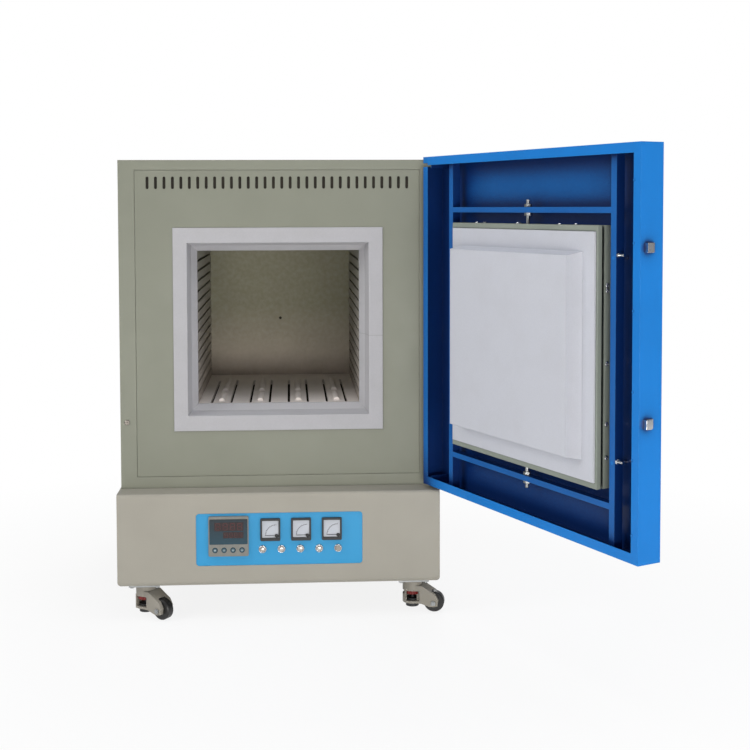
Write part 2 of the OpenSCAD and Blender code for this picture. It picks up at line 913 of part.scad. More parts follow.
// Posts and cross-bars welded inside the tray
module door_subframe() {
    y0 = bar_y - frame_d / 2;
    y1 = bar_y + frame_d / 2;
    color("#1b6cc0")
        on_door() {
            for (s = [-1, 1])
                difference() {
                    translate([s * post_x, 0, 0])
                        slab(post_w, y0, y1, door_z + sheet, door_z + door_h - sheet);
                    for (t = [-1, 1])
                        rod_y(handle_bolt_r + clear, y0 - 1, y1 + 1, handle_x,
                            casing_z + handle_lift + t * handle_l / 2);
                }
            for (s = [-1, 1])
                difference() {
                    slab(2 * (post_x - seat) - post_w, y0, y1, bar_z(s) - bar_h / 2,
                        bar_z(s) + bar_h / 2);
                    rod_z(stud_r + clear, bar_z(s) - bar_h, bar_z(s) + bar_h, 0, bar_y);
                }
        }
}

// Middle height of the upper (1) or lower (-1) cross-bar
function bar_z(s) = mouth_mid + s * (carrier_h / 2 + bar_gap + bar_h / 2);

module plug_carrier() {
    z0 = mouth_mid - carrier_h / 2;
    z1 = mouth_mid + carrier_h / 2;
    fy = front_tray_y - front_tray;
    ry = rear_tray_y - rear_tray;
    color("#8c948a")
        on_door() {
            difference() {
                slab(carrier_w, fy, front_tray_y, z0, z1);
                slab(collar_w - 2 + 2 * clear, fy + sheet, front_tray_y + 1,
                    z0 + carrier_rim_z - clear, z1 - carrier_rim_z + clear);
            }
            for (sx = [-1, 1], sz = [-1, 1])
                rod_y(7, rear_tray_y + seat, fy - seat, sx * (carrier_w / 2 - 40),
                    mouth_mid + sz * (carrier_h / 2 - 40));
            difference() {
                slab(carrier_w, ry, rear_tray_y, z0, z1);
                slab(carrier_w - 2 * sheet, ry - 1, rear_tray_y - sheet, z0 + sheet, z1 - sheet);
                rod_z(stud_r + run_fit, z0 - 1, z1 + 1, 0, bar_y);
            }
        }
}

module door_plug() {
    base_w1 = mouth_w - 2 * plug_clear;
    base_h1 = mouth_h - 2 * plug_clear;
    face_w1 = step_w - 2 * plug_clear;
    face_h1 = step_h - 2 * plug_clear;
    color("#e4e5ea")
        on_door() {
            slab(collar_w - 2, front_tray_y - front_tray + sheet, -door_gap - seat,
                mouth_mid - collar_h / 2, mouth_mid + collar_h / 2);
            taper(base_w1, base_h1, -door_gap, face_w1, face_h1, -door_gap + plug_h, mouth_mid);
        }
}

// Stud with a nut on each side of its cross-bar
module suspension_bolts() {
    color("#b4b6b4")
        on_door()
            for (s = [-1, 1])
                union() {
                    translate([0, bar_y, min(bar_z(s) + s * (bar_h / 2 + 16), mouth_mid + s * (carrier_h / 2 - 8))])
                        cylinder(r = stud_r, h = abs(bar_z(s) + s * (bar_h / 2 + 16)
                            - mouth_mid - s * (carrier_h / 2 - 8)));
                    for (t = [-1, 1])
                        translate([0, bar_y, bar_z(s) + t * (bar_h / 2 + 3.2)])
                            cylinder(r = 2 * stud_r, h = 6.4, center = true, $fn = 6);
                }
}

module door_handle() {
    z0 = casing_z + handle_lift;
    nut_y = bar_y + frame_d / 2;
    color("#c6c8ca")
        on_door() {
            union() {
                rod_z(grip_r, z0 - handle_l / 2 - 24, z0 + handle_l / 2 + 24, handle_x, handle_y);
                for (s = [-1, 1])
                    rod_y(standoff_r, handle_y, door_y, handle_x, z0 + s * handle_l / 2);
                for (s = [-1, 1])
                    rod_y(handle_bolt_r, door_y - 1, nut_y + 8, handle_x, z0 + s * handle_l / 2);
            }
            for (s = [-1, 1])
                difference() {
                    translate([handle_x, nut_y, z0 + s * handle_l / 2])
                        rotate([-90, 0, 0])
                            cylinder(r = 7.5, h = 6, $fn = 6);
                    rod_y(handle_bolt_r + run_fit, nut_y - 1, nut_y + 7, handle_x,
                        z0 + s * handle_l / 2);
                }
        }
}

// Hooked keepers on the door's free end, open towards the door's outer face
module latch_keepers() {
    y1 = -door_gap - keeper_deep + keeper_l / 2;
    color("#c9cbcd")
        on_door()
            for (h = latch_heights)
                translate([-door_w / 2, y1, casing_z + h - keeper_w / 2])
                    linear_extrude(keeper_w)
                        polygon([
                            [0, -keeper_l], [0, 0], [-keeper_proud, 0],
                            [-keeper_proud, -keeper_l + 8], [-keeper_proud + keeper_t, -keeper_l + 8],
                            [-keeper_proud + keeper_t, -4], [-keeper_t, -4], [-keeper_t, -keeper_l]
                        ]);
}

// Casters

module at_caster(i) {
    place()
        translate([caster_at[i - 1][0], caster_at[i - 1][1], 0])
            rotate([0, 0, caster_at[i - 1][2]])
                children();
}

module caster_plates() {
    color("#b8bab8")
        place()
            for (c = caster_at)
                translate([c[0], c[1], 0]) {
                    union() {
                        translate([-caster_plate_w / 2, -caster_plate_w / 2, caster_h - caster_plate_t])
                            cube([caster_plate_w, caster_plate_w, caster_plate_t]);
                        rod_z(6, caster_h - caster_plate_t - 14, caster_h);
                        for (sx = [-1, 1], sy = [-1, 1])
                            translate([sx * 30, sy * 30, caster_h - caster_plate_t - 3])
                                cylinder(r = 5, h = 3.5, $fn = 6);
                    }
                }
}

module caster_fork(i) {
    r = 24;
    color("#a9aba8")
        at_caster(i)
            difference() {
                union() {
                    rod_z(r, 22, fork_top);
                    translate([0, fork_w / 2, 0])
                        rotate([90, 0, 0])
                            linear_extrude(fork_w)
                                polygon([
                                    [-14, 22], [-14, 56], [-4, 66], [26, 66], [trail + 4, 46],
                                    [trail + 12, 32], [trail + 10, 17], [trail - 8, 15], [24, 22]
                                ]);
                    translate([trail, fork_w / 2, wheel_r])
                        rotate([90, 0, 0])
                            cylinder(r = 10, h = fork_w);
                }
                // wheel well
                translate([trail, wheel_w / 2 + 1, wheel_r])
                    rotate([90, 0, 0])
                        cylinder(r = wheel_r + 2, h = wheel_w + 2);
                translate([trail, -wheel_w / 2 - 1, -1])
                    cube([40, wheel_w + 2, wheel_r + 9]);
                // king pin
                rod_z(6 + run_fit, fork_top - 16, fork_top + 1);
                // dial chamber, open to the front
                rod_z(dial_r + 1, dial_z - clear, dial_z + dial_h + clear);
                translate([-40, -16, dial_z - clear])
                    cube([40, 32, dial_h + 2 * clear]);
                // foot bore and stem
                rod_z(foot_r + 1, 21, dial_z - clear + eps);
                rod_z(stem_r + 1, dial_z, dial_z + dial_h + 10);
            }
    color("#8f918f")
        at_caster(i)
            translate([trail, fork_w / 2 + 1, wheel_r])
                rotate([90, 0, 0])
                    cylinder(r = axle_r, h = fork_w + 2);
}

module caster_wheel(i) {
    color("#1c1c1e")
        at_caster(i)
            translate([trail, 0, wheel_r])
                rotate([90, 0, 0])
                    rotate_extrude()
                        polygon([
                            [axle_r + run_fit, -wheel_w / 2], [wheel_r - 3, -wheel_w / 2],
                            [wheel_r, -wheel_w / 2 + 3], [wheel_r, wheel_w / 2 - 3],
                            [wheel_r - 3, wheel_w / 2], [axle_r + run_fit, wheel_w / 2]
                        ]);
}

module caster_dial(i) {
    color("#c8281e")
        at_caster(i)
            difference() {
                rod_z(dial_r, dial_z, dial_z + dial_h);
                rod_z(stem_r + run_fit, dial_z - 1, dial_z + dial_h + 1);
                for (k = [0:15])
                    rotate([0, 0, k * 22.5])
                        translate([dial_r + 0.6, 0, dial_z - 1])
                            cylinder(r = 2, h = dial_h + 2, $fn = 16);
            }
}

module caster_foot(i) {
    color("#232325")
        at_caster(i)
            union() {
                rod_z(foot_r, foot_z, foot_z + 20);
                rod_z(stem_r, foot_z, dial_z + dial_h + 8);
            }
}

casing_shell();
front_panel();
back_cover();
chamber_walls();
chamber_floor();
chamber_back_wall();
mouth_collar();
heating_elements();
insulation_jacket();
thermocouple();
base_shell();
base_back_cover();
cable_gland();
power_regulator();
fascia_panel();
controller();
controller_key(1);  // controller_key_1
controller_key(2);  // controller_key_2
controller_key(3);  // controller_key_3
controller_key(4);  // controller_key_4
meter_housings();
meter_needle(1);  // meter_needle_1
meter_needle(2);  // meter_needle_2
meter_needle(3);  // meter_needle_3
button_bezels();
push_button(1);  // push_button_1
push_button(2);  // push_button_2
push_button(3);  // push_button_3
push_button(4);  // push_button_4
lock_switch();
hinge_brackets();
latch_bases();
latch_lever(latch_high);  // latch_lever_upper
latch_lever(latch_low);  // latch_lever_lower
latch_bail(latch_high);  // latch_bail_upper
latch_bail(latch_low);  // latch_bail_lower
door_shell();
door_subframe();
plug_carrier();
door_plug();
suspension_bolts();
door_handle();
latch_keepers();
caster_plates();
caster_fork(1);  // caster_fork_1
caster_fork(2);  // caster_fork_2
caster_fork(3);  // caster_fork_3
caster_fork(4);  // caster_fork_4
caster_wheel(1);  // caster_wheel_1
caster_wheel(2);  // caster_wheel_2
caster_wheel(3);  // caster_wheel_3
caster_wheel(4);  // caster_wheel_4
caster_dial(1);  // caster_dial_1
caster_dial(2);  // caster_dial_2
caster_dial(3);  // caster_dial_3
caster_dial(4);  // caster_dial_4
caster_foot(1);  // caster_foot_1
caster_foot(2);  // caster_foot_2
caster_foot(3);  // caster_foot_3
caster_foot(4);  // caster_foot_4
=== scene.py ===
"""Box muffle furnace: painted casing, slotted fibre chamber, tray door with a bevelled plug, base on casters."""
import math

import bmesh
import bpy
from mathutils import Matrix, Vector


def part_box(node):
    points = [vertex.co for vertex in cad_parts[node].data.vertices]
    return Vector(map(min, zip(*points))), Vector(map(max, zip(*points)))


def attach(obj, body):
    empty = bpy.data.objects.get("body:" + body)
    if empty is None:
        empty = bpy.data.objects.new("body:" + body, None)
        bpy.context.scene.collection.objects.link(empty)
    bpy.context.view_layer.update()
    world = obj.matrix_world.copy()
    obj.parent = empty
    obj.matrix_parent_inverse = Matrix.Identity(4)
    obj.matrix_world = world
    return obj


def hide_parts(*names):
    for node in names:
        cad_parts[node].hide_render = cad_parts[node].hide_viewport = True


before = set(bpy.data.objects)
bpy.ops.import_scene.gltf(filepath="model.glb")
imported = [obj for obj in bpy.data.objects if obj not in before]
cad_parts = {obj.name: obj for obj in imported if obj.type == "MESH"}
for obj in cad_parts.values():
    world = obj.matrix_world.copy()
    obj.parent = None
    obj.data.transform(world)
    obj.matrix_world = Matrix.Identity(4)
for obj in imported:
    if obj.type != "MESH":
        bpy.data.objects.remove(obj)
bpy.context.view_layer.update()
MM = 0.001

# Places are worked out in the casing's own millimetres: x from its middle, y from its front, z from the floor.
SHELL_LO, SHELL_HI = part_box("casing_shell")
ORIGIN = Vector(((SHELL_LO.x + SHELL_HI.x) / 2, SHELL_LO.y, 0.0))
UP, FORWARD, REARWARD = Vector((0, 0, 1)), Vector((0, -1, 0)), Vector((0, 1, 0))

# The door stands open on its pin, and its inner face is just before the casing when it is shut.
DOOR_OPEN = math.radians(115)
HINGE_PIN = Vector((376, -25))
INNER_FACE = -3

# The chamber: 14 slots in each side board, and 8 in the hearth
CHAMBER_FLOOR, CHAMBER_HEIGHT = 506, 380
CHAMBER_ROOF = CHAMBER_FLOOR + CHAMBER_HEIGHT
WALL_SLOTS, HEARTH_SLOTS = 14, 8
WALL_PITCH, HEARTH_PITCH = CHAMBER_HEIGHT / (WALL_SLOTS + 1), 48
WALL_CHANNEL_X, HEARTH_CHANNEL_DROP = 218, 18
WALL_CHANNELS = [(side * WALL_CHANNEL_X, CHAMBER_FLOOR + WALL_PITCH * i)
                 for side in (-1, 1) for i in range(1, WALL_SLOTS + 1)]
HEARTH_CHANNELS = [((i - (HEARTH_SLOTS - 1) / 2) * HEARTH_PITCH, CHAMBER_FLOOR - HEARTH_CHANNEL_DROP)
                   for i in range(HEARTH_SLOTS)]

# The heights between which the tone of the controller's window, its filters and digits changes
TINT_TOP, TINT_BOTTOM = 246, 190


def at(x, y, z):
    """A point of the casing, in metres of the frame."""
    return ORIGIN + Vector((x, y, z)) * MM


def on_door(x, depth, z):
    """A point of the open door: x across the closed door, depth below its inner face."""
    dx, dy = x - HINGE_PIN.x, INNER_FACE - depth - HINGE_PIN.y
    c, s = math.cos(DOOR_OPEN), math.sin(DOOR_OPEN)
    return at(HINGE_PIN.x + dx * c - dy * s, HINGE_PIN.y + dx * s + dy * c, z)


def door_way(x, y, z):
    """A direction given on the closed door, turned to where the door stands."""
    return Matrix.Rotation(DOOR_OPEN, 3, "Z") @ Vector((x, y, z))


# ---------------------------------------------------------------- materials

def rgb(code):
    """An sRGB hex value as linear colour."""
    parts = [int(code[i:i + 2], 16) / 255 for i in (1, 3, 5)]
    return [c / 12.92 if c <= 0.04045 else ((c + 0.055) / 1.055) ** 2.4 for c in parts] + [1.0]


def per_mm(size):
    """The noise scale whose grains are about size millimetres wide."""
    return 1000.0 / size


def feed(tree, socket, value):
    """Sets a socket to a number or colour, or links it to an output or to a node's first output."""
    if isinstance(value, bpy.types.Node):
        value = value.outputs[0]
    if isinstance(value, bpy.types.NodeSocket):
        tree.links.new(value, socket)
    else:
        socket.default_value = value


def add(tree, kind, settings, sockets):
    """Adds one node with its settings and feeds its sockets."""
    node = tree.nodes.new(kind)
    for name, value in settings.items():
        setattr(node, name, value)
    for key, value in sockets.items():
        feed(tree, node.inputs[key], value)
    return node


def start(name, **constants):
    """A new material with its shader; constants go on the shader's own sockets."""
    material = bpy.data.materials.new(name)
    material.use_nodes = True
    tree = material.node_tree
    shader = tree.nodes["Principled BSDF"]
    for key, value in constants.items():
        shader.inputs[key.replace("_", " ")].default_value = value
    place = add(tree, "ShaderNodeTexCoord", {}, {}).outputs["Object"]
    return material, tree, shader, place


def near_edge(tree, eased):
    """How near an edge is: 0 on the flat, 1 where the eased normals turn most."""
    flat = add(tree, "ShaderNodeNewGeometry", {}, {}).outputs["Normal"]
    same = add(tree, "ShaderNodeVectorMath", {"operation": "DOT_PRODUCT"}, {0: eased, 1: flat})
    return add(tree, "ShaderNodeMapRange", {}, {"Value": same.outputs["Value"], "From Min": 1.0, "From Max": 0.75})


def dress(tree, shader, tone, roughness, relief, strength, depth, eased=None):
    """Gives the shader its colour and roughness, and a relief depth mm deep over the eased normals."""
    feed(tree, shader.inputs["Base Color"], tone)
    feed(tree, shader.inputs["Roughness"], roughness)
    bump = add(tree, "ShaderNodeBump", {}, {"Height": relief, "Strength": strength, "Distance": depth * MM})
    if eased is not None:
        feed(tree, bump.inputs["Normal"], eased)
    feed(tree, shader.inputs["Normal"], bump)


def powder_coat(name, colour, shade, rubbed, peel, roughness, fold=1.6, recess=None, shine=0.5):
    """Powder coat on folded sheet: sprayed and baked, so an orange peel of about 2 mm, slightly
    uneven tone over a hand's width, softer gloss where it was wiped, and edges painted paler: a painted highlight,
    broken up like light rubbing.
    In hollows the coat is darkened by ambient occlusion, a painted shade: recess is that shade's
    colour, the openness where it is full and where it ends, and its reach in mm."""
    material, tree, shader, place = start(name, IOR=1.5, Specular_IOR_Level=shine)
    eased = add(tree, "ShaderNodeBevel", {"samples": 6}, {"Radius": fold * MM})
    cloud = add(tree, "ShaderNodeTexNoise", {}, {"Vector": place, "Scale": per_mm(160), "Detail": 3.0})
    uneven = add(tree, "ShaderNodeMapRange", {}, {"Value": cloud, "From Min": 0.3, "From Max": 0.7})
    tone = add(tree, "ShaderNodeMix", {"data_type": "RGBA"}, {0: uneven, 6: rgb(colour), 7: rgb(shade)}).outputs[2]
    nicks = add(tree, "ShaderNodeTexNoise", {}, {"Vector": place, "Scale": per_mm(9), "Detail": 4.0})
    nicked = add(tree, "ShaderNodeMapRange", {}, {
        "Value": nicks, "From Min": 0.35, "From Max": 0.7, "To Min": 0.15, "To Max": 0.8})
    # Painted highlight along the edges, broken up like rubbing
    worn_and_highlit_edge = add(tree, "ShaderNodeMath", {"operation": "MULTIPLY"}, {0: near_edge(tree, eased), 1: nicked})
    tone = add(tree, "ShaderNodeMix", {"data_type": "RGBA"}, {0: worn_and_highlit_edge, 6: tone, 7: rgb(rubbed)}).outputs[2]
    # Painted shade: where ambient occlusion finds the surface hemmed in, the tone darkens to the recess colour
    if recess:
        deep, low, high, far = recess
        reach = add(tree, "ShaderNodeAmbientOcclusion", {"samples": 8}, {"Distance": far * MM}).outputs["AO"]
        painted_shade_share = add(tree, "ShaderNodeMapRange", {}, {"Value": reach, "From Min": low, "From Max": high})
        tone = add(tree, "ShaderNodeMix", {"data_type": "RGBA"}, {0: painted_shade_share, 6: rgb(deep), 7: tone}).outputs[2]
    hands = add(tree, "ShaderNodeTexNoise", {}, {
        "Vector": place, "Scale": per_mm(45), "Detail": 4.0, "Roughness": 0.6})
    wiped = add(tree, "ShaderNodeMapRange", {}, {
        "Value": hands, "From Min": 0.3, "From Max": 0.75, "To Min": roughness - 0.05, "To Max": roughness + 0.09})
    orange_peel = add(tree, "ShaderNodeTexNoise", {}, {"Vector": place, "Scale": per_mm(2.2), "Detail": 1.0})
    dress(tree, shader, tone, wiped, orange_peel, peel, 0.06, eased)
    return material


def fibre_board(name, colour, shade, stain, stain_amount, joint=None):
    """Vacuum-formed ceramic fibre: matt and chalky, with a felted skin of short fibres about 3 mm
    long, shallow forming pits, and a faint grey handling stain. A joint is a filled butt seam,
    given by its lower and upper edge and its left end in mm."""
    material, tree, shader, place = start(name, IOR=1.45, Sheen_Weight=0.08)
    felt = add(tree, "ShaderNodeTexNoise", {}, {
        "Vector": place, "Scale": per_mm(3.0), "Detail": 5.0, "Roughness": 0.7})
    along = add(tree, "ShaderNodeMapping", {}, {"Vector": place, "Scale": (1.0, 1.0, 0.22)})
    strands = add(tree, "ShaderNodeTexNoise", {}, {
        "Vector": along, "Scale": per_mm(1.6), "Detail": 3.0, "Roughness": 0.65})
    handling = add(tree, "ShaderNodeTexNoise", {}, {
        "Vector": place, "Scale": per_mm(70), "Detail": 4.0, "Roughness": 0.55})
    pits = add(tree, "ShaderNodeMapRange", {}, {"Value": felt, "From Min": 0.35, "From Max": 0.7})
    tone = add(tree, "ShaderNodeMix", {"data_type": "RGBA"}, {0: pits, 6: rgb(colour), 7: rgb(shade)}).outputs[2]
    stained = add(tree, "ShaderNodeMapRange", {}, {
        "Value": handling, "From Min": 0.45, "From Max": 0.75, "To Max": stain_amount})
    tone = add(tree, "ShaderNodeMix", {"data_type": "RGBA"}, {0: stained, 6: tone, 7: rgb(stain)}).outputs[2]
    if joint:
        low, high, left = (edge * MM for edge in joint)
        axes = add(tree, "ShaderNodeSeparateXYZ", {}, {"Vector": place})
        above = add(tree, "ShaderNodeMath", {"operation": "GREATER_THAN"}, {0: axes.outputs["Z"], 1: low})
        below = add(tree, "ShaderNodeMath", {"operation": "LESS_THAN"}, {0: axes.outputs["Z"], 1: high})
        beside = add(tree, "ShaderNodeMath", {"operation": "GREATER_THAN"}, {0: axes.outputs["X"], 1: left})
        band = add(tree, "ShaderNodeMath", {"operation": "MULTIPLY"}, {0: above, 1: below})
        seam = add(tree, "ShaderNodeMath", {"operation": "MULTIPLY"}, {0: band, 1: beside})
        filled = add(tree, "ShaderNodeMapRange", {}, {"Value": seam, "To Max": 0.4})
        tone = add(tree, "ShaderNodeMix", {"data_type": "RGBA"}, {0: filled, 6: tone, 7: rgb("#8E8D8C")}).outputs[2]
    eased = add(tree, "ShaderNodeBevel", {"samples": 6}, {"Radius": 2.6 * MM})
    chalk = add(tree, "ShaderNodeMapRange", {}, {"Value": felt, "To Min": 0.86, "To Max": 1.0})
    fibres = add(tree, "ShaderNodeMath", {"operation": "ADD"}, {0: felt, 1: strands})
    dress(tree, shader, tone, chalk, fibres, 0.35, 0.35, eased)
    return material


def fired_board(name, low, high, floor, top, soot):
    """Chamber board after its first firings: off-white fibre going from the low tone at the floor height
    to the high tone at the top height, with smoky patches and fine shrinkage mottling of about 12 mm."""
    material, tree, shader, place = start(name, IOR=1.45)
    height = add(tree, "ShaderNodeSeparateXYZ", {}, {"Vector": place}).outputs["Z"]
    rise = add(tree, "ShaderNodeMapRange", {}, {"Value": height, "From Min": floor * MM, "From Max": top * MM})
    tone = add(tree, "ShaderNodeMix", {"data_type": "RGBA"}, {0: rise, 6: rgb(low), 7: rgb(high)}).outputs[2]
    smoke = add(tree, "ShaderNodeTexNoise", {}, {
        "Vector": place, "Scale": per_mm(60), "Detail": 5.0, "Roughness": 0.6})
    smoked = add(tree, "ShaderNodeMapRange", {}, {"Value": smoke, "From Min": 0.4, "From Max": 0.75, "To Max": 0.3})
    tone = add(tree, "ShaderNodeMix", {"data_type": "RGBA"}, {0: smoked, 6: tone, 7: rgb(soot)}).outputs[2]
    shrink = add(tree, "ShaderNodeTexNoise", {}, {"Vector": place, "Scale": per_mm(12), "Detail": 3.0})
    mottled = add(tree, "ShaderNodeMapRange", {}, {
        "Value": shrink, "From Min": 0.35, "From Max": 0.7, "To Max": 0.06})
    tone = add(tree, "ShaderNodeMix", {"data_type": "RGBA"}, {0: mottled, 6: tone, 7: rgb("#FFFFFF")}).outputs[2]
    felt = add(tree, "ShaderNodeTexNoise", {}, {
        "Vector": place, "Scale": per_mm(3.4), "Detail": 5.0, "Roughness": 0.7})
    chalk = add(tree, "ShaderNodeMapRange", {}, {"Value": felt, "To Min": 0.88, "To Max": 1.0})
    eased = add(tree, "ShaderNodeBevel", {"samples": 6}, {"Radius": 1.2 * MM})
    dress(tree, shader, tone, chalk, felt, 0.25, 0.3, eased)
    return material


def bare_metal(name, colour, shade, roughness, stretch, scratch):
    """Bare or plated metal: polished, brushed or barrel-finished. Fine marks run one way at about
    0.6 mm, drawn coarse enough to show, and handling leaves soft patches in the gloss."""
    material, tree, shader, place = start(name, Metallic=1.0)
    drawn = add(tree, "ShaderNodeMapping", {}, {"Vector": place, "Scale": stretch})
    marks = add(tree, "ShaderNodeTexNoise", {}, {
        "Vector": drawn, "Scale": per_mm(0.6), "Detail": 3.0, "Roughness": 0.6})
    hands = add(tree, "ShaderNodeTexNoise", {}, {"Vector": place, "Scale": per_mm(22), "Detail": 3.0})
    handled = add(tree, "ShaderNodeMapRange", {}, {"Value": hands, "From Min": 0.35, "From Max": 0.7})
    tone = add(tree, "ShaderNodeMix", {"data_type": "RGBA"}, {0: handled, 6: rgb(colour), 7: rgb(shade)}).outputs[2]
    gloss = add(tree, "ShaderNodeMapRange", {}, {
        "Value": marks, "From Min": 0.3, "From Max": 0.7,
        "To Min": roughness * 0.75, "To Max": roughness * 1.35 + 0.02})
    eased = add(tree, "ShaderNodeBevel", {"samples": 6}, {"Radius": 0.8 * MM})
    dress(tree, shader, tone, gloss, marks, scratch, 0.03, eased)
    return material


def moulded(name, colour, shade, roughness, pore=0.9, coat=0.0):
    """Injection-moulded plastic or rubber: spark-eroded mould texture about 1 mm wide, slightly
    glossier on rubbed edges, tone even but for dust in the texture."""
    material, tree, shader, place = start(name, IOR=1.5, Coat_Weight=coat)
    eased = add(tree, "ShaderNodeBevel", {"samples": 6}, {"Radius": 0.7 * MM})
    pores = add(tree, "ShaderNodeTexNoise", {}, {"Vector": place, "Scale": per_mm(pore)})
    dust = add(tree, "ShaderNodeTexNoise", {}, {
        "Vector": place, "Scale": per_mm(14), "Detail": 4.0, "Roughness": 0.6})
    dusty = add(tree, "ShaderNodeMapRange", {}, {"Value": dust, "From Min": 0.4, "From Max": 0.75})
    tone = add(tree, "ShaderNodeMix", {"data_type": "RGBA"}, {0: dusty, 6: rgb(colour), 7: rgb(shade)}).outputs[2]
    texture = add(tree, "ShaderNodeMapRange", {}, {
        "Value": pores, "From Min": 0.3, "From Max": 0.7, "To Min": roughness - 0.05, "To Max": roughness + 0.08})
    rub = add(tree, "ShaderNodeMapRange", {}, {"Value": near_edge(tree, eased), "To Max": 0.12})
    rubbed = add(tree, "ShaderNodeMath", {"operation": "SUBTRACT"}, {0: texture, 1: rub})
    dress(tree, shader, tone, rubbed, pores, 0.2, 0.04, eased)
    return material


def tinted_acrylic(name, colour, shade, roughness):
    """Smoked acrylic window or lit film: glossy, going from its colour at the window's bottom to its
    shade at the top, with faint wiping haze."""
    material, tree, shader, place = start(name, IOR=1.49, Coat_Weight=0.25, Coat_Roughness=0.06)
    height = add(tree, "ShaderNodeSeparateXYZ", {}, {"Vector": place}).outputs["Z"]
    rise = add(tree, "ShaderNodeMapRange", {}, {
        "Value": height, "From Min": TINT_BOTTOM * MM, "From Max": TINT_TOP * MM})
    tone = add(tree, "ShaderNodeMix", {"data_type": "RGBA"}, {0: rise, 6: rgb(colour), 7: rgb(shade)}).outputs[2]
    wiping = add(tree, "ShaderNodeTexNoise", {}, {
        "Vector": place, "Scale": per_mm(8), "Detail": 4.0, "Roughness": 0.6})
    haze = add(tree, "ShaderNodeMapRange", {}, {
        "Value": wiping, "From Min": 0.3, "From Max": 0.7, "To Min": roughness, "To Max": roughness + 0.08})
    dress(tree, shader, tone, haze, wiping, 0.05, 0.02)
    return material


# Painted sheet: each coat's own tone, the tone its unevenness runs to, and the paler tone painted on its edges as a
# highlight broken up like rubbing
casing_paint = powder_coat("casing_powder_coat", "#888A7C", "#848678", "#9EA093",
                           peel=0.25, roughness=0.42, shine=0.35)
panel_paint = powder_coat("panel_powder_coat", "#87897B", "#838577", "#9D9F92",
                          peel=0.25, roughness=0.42, shine=0.3)
base_paint = powder_coat("base_powder_coat", "#A39F94", "#9D998E", "#B7B3A8",
                         peel=0.25, roughness=0.4, fold=2.4, shine=0.35)
# The door, subframe and carrier coats get painted shade in their hollows through recess
door_paint = powder_coat("door_powder_coat", "#127CD1", "#1077C9", "#4496DC",
                         peel=0.22, roughness=0.36, fold=1.2, recess=("#0B2C66", 0.66, 1.0, 110), shine=0.25)
# The subframe's blue is a darker copy of the door's coat: painted shade on the frame inside the tray
frame_paint_shaded = powder_coat("subframe_powder_coat_shaded", "#1767B4", "#155FA9", "#3A86CE",
                          peel=0.22, roughness=0.36, fold=1.2, recess=("#0B2C66", 0.55, 0.98, 110), shine=0.25)
carrier_paint = powder_coat("carrier_powder_coat", "#8F968C", "#868D84", "#B0B5AC",
                            peel=0.2, roughness=0.42, fold=1.2, recess=("#0E1518", 0.4, 0.75, 14), shine=0.35)
fascia_film = powder_coat("fascia_film", "#339ACF", "#2E96CC", "#66B2DA",
                          peel=0.06, roughness=0.34, shine=0.3)
casting = powder_coat("die_cast_silver_lacquer", "#99948A", "#8C877C", "#B4B0A6",
                      peel=0.5, roughness=0.42, fold=3.0)

# Fibre: clean on the plug and the collar, fired in the chamber, and rock wool round it painted dark as the shade
# seen through the vents
plug_fibre = fibre_board("plug_fibre_board", "#C5C7CF", "#C0C2CA", "#BBBCC2", 0.35)
collar_fibre = fibre_board("collar_fibre_board", "#B6B5B8", "#B1B0B3", "#ABAAAB", 0.4, joint=(678, 679.8, -20))
# The rock wool's colour is painted shade: darkened so the vent slots read dark
blanket = fibre_board("rock_wool_blanket", "#36322C", "#2D2A25", "#423C33", 0.5)
alumina = fibre_board("smoked_alumina", "#332E29", "#2A2622", "#3D3731", 0.3)
wall_fibre = fired_board("chamber_fired_board", "#A89E95", "#9B9A8D", CHAMBER_FLOOR, CHAMBER_ROOF, "#8B8474")
# The back wall's lighter low tone is painted light that lifts the shade at the wall's foot
back_fibre = fired_board("back_fired_board", "#BEB2A6", "#92907B", CHAMBER_FLOOR, 710, "#8D8777")
floor_fibre = fired_board("floor_fired_board", "#E2DAD4", "#E4DCD6", 440, 520, "#CFC6BF")

# Metal: the stretch makes the marks long where it is small
coil_alloy = bare_metal("oxidised_resistance_wire", "#4A4038", "#352D28", 0.62, (1, 1, 1), 0.3)
sink_metal = bare_metal("anodised_heat_sink", "#4B5056", "#3F444A", 0.45, (1, 0.05, 1), 0.3)
chrome = bare_metal("chrome_plate", "#D2D4D6", "#C6C8CB", 0.11, (1, 1, 0.3), 0.12)
button_steel = bare_metal("button_stainless", "#C7C1BA", "#B4ADA5", 0.26, (1, 1, 0.15), 0.25)
switch_nickel = bare_metal("satin_dark_nickel", "#97918A", "#857F78", 0.32, (1, 1, 0.2), 0.25)
zinc = bare_metal("bright_zinc_plate", "#A4A6A7", "#8F9293", 0.4, (1, 1, 0.4), 0.3)

# Plastic, rubber, enamel and print
black_abs = moulded("black_abs", "#1D1E20", "#2A2B2D", 0.5)
bezel_abs = moulded("grey_abs_bezel", "#7F7F79", "#77766F", 0.5)
red_abs = moulded("red_abs", "#7E1712", "#6C120E", 0.4, pore=0.8)
nylon = moulded("black_nylon", "#151515", "#1F1F1E", 0.42, pore=1.4)
key_rubber = moulded("key_rubber", "#5C727B", "#546A73", 0.55, pore=0.5)
key_mark = moulded("key_print", "#B9C3C6", "#A9B4B8", 0.55, pore=0.5)
needle_paint = moulded("needle_lacquer", "#141416", "#1E1E20", 0.4, pore=0.4)
dial_plate = moulded("meter_enamel", "#C0C4CC", "#B9BDC6", 0.35, pore=0.8)
scale_ink = moulded("scale_ink", "#3A3A3E", "#44444A", 0.6, pore=0.5)
smoked_window = tinted_acrylic("smoked_window", "#103A49", "#16252D", 0.1)
display = tinted_acrylic("display_filter", "#26090D", "#22080B", 0.14)
segment = tinted_acrylic("unlit_segment", "#3D0C10", "#4A0E13", 0.2)

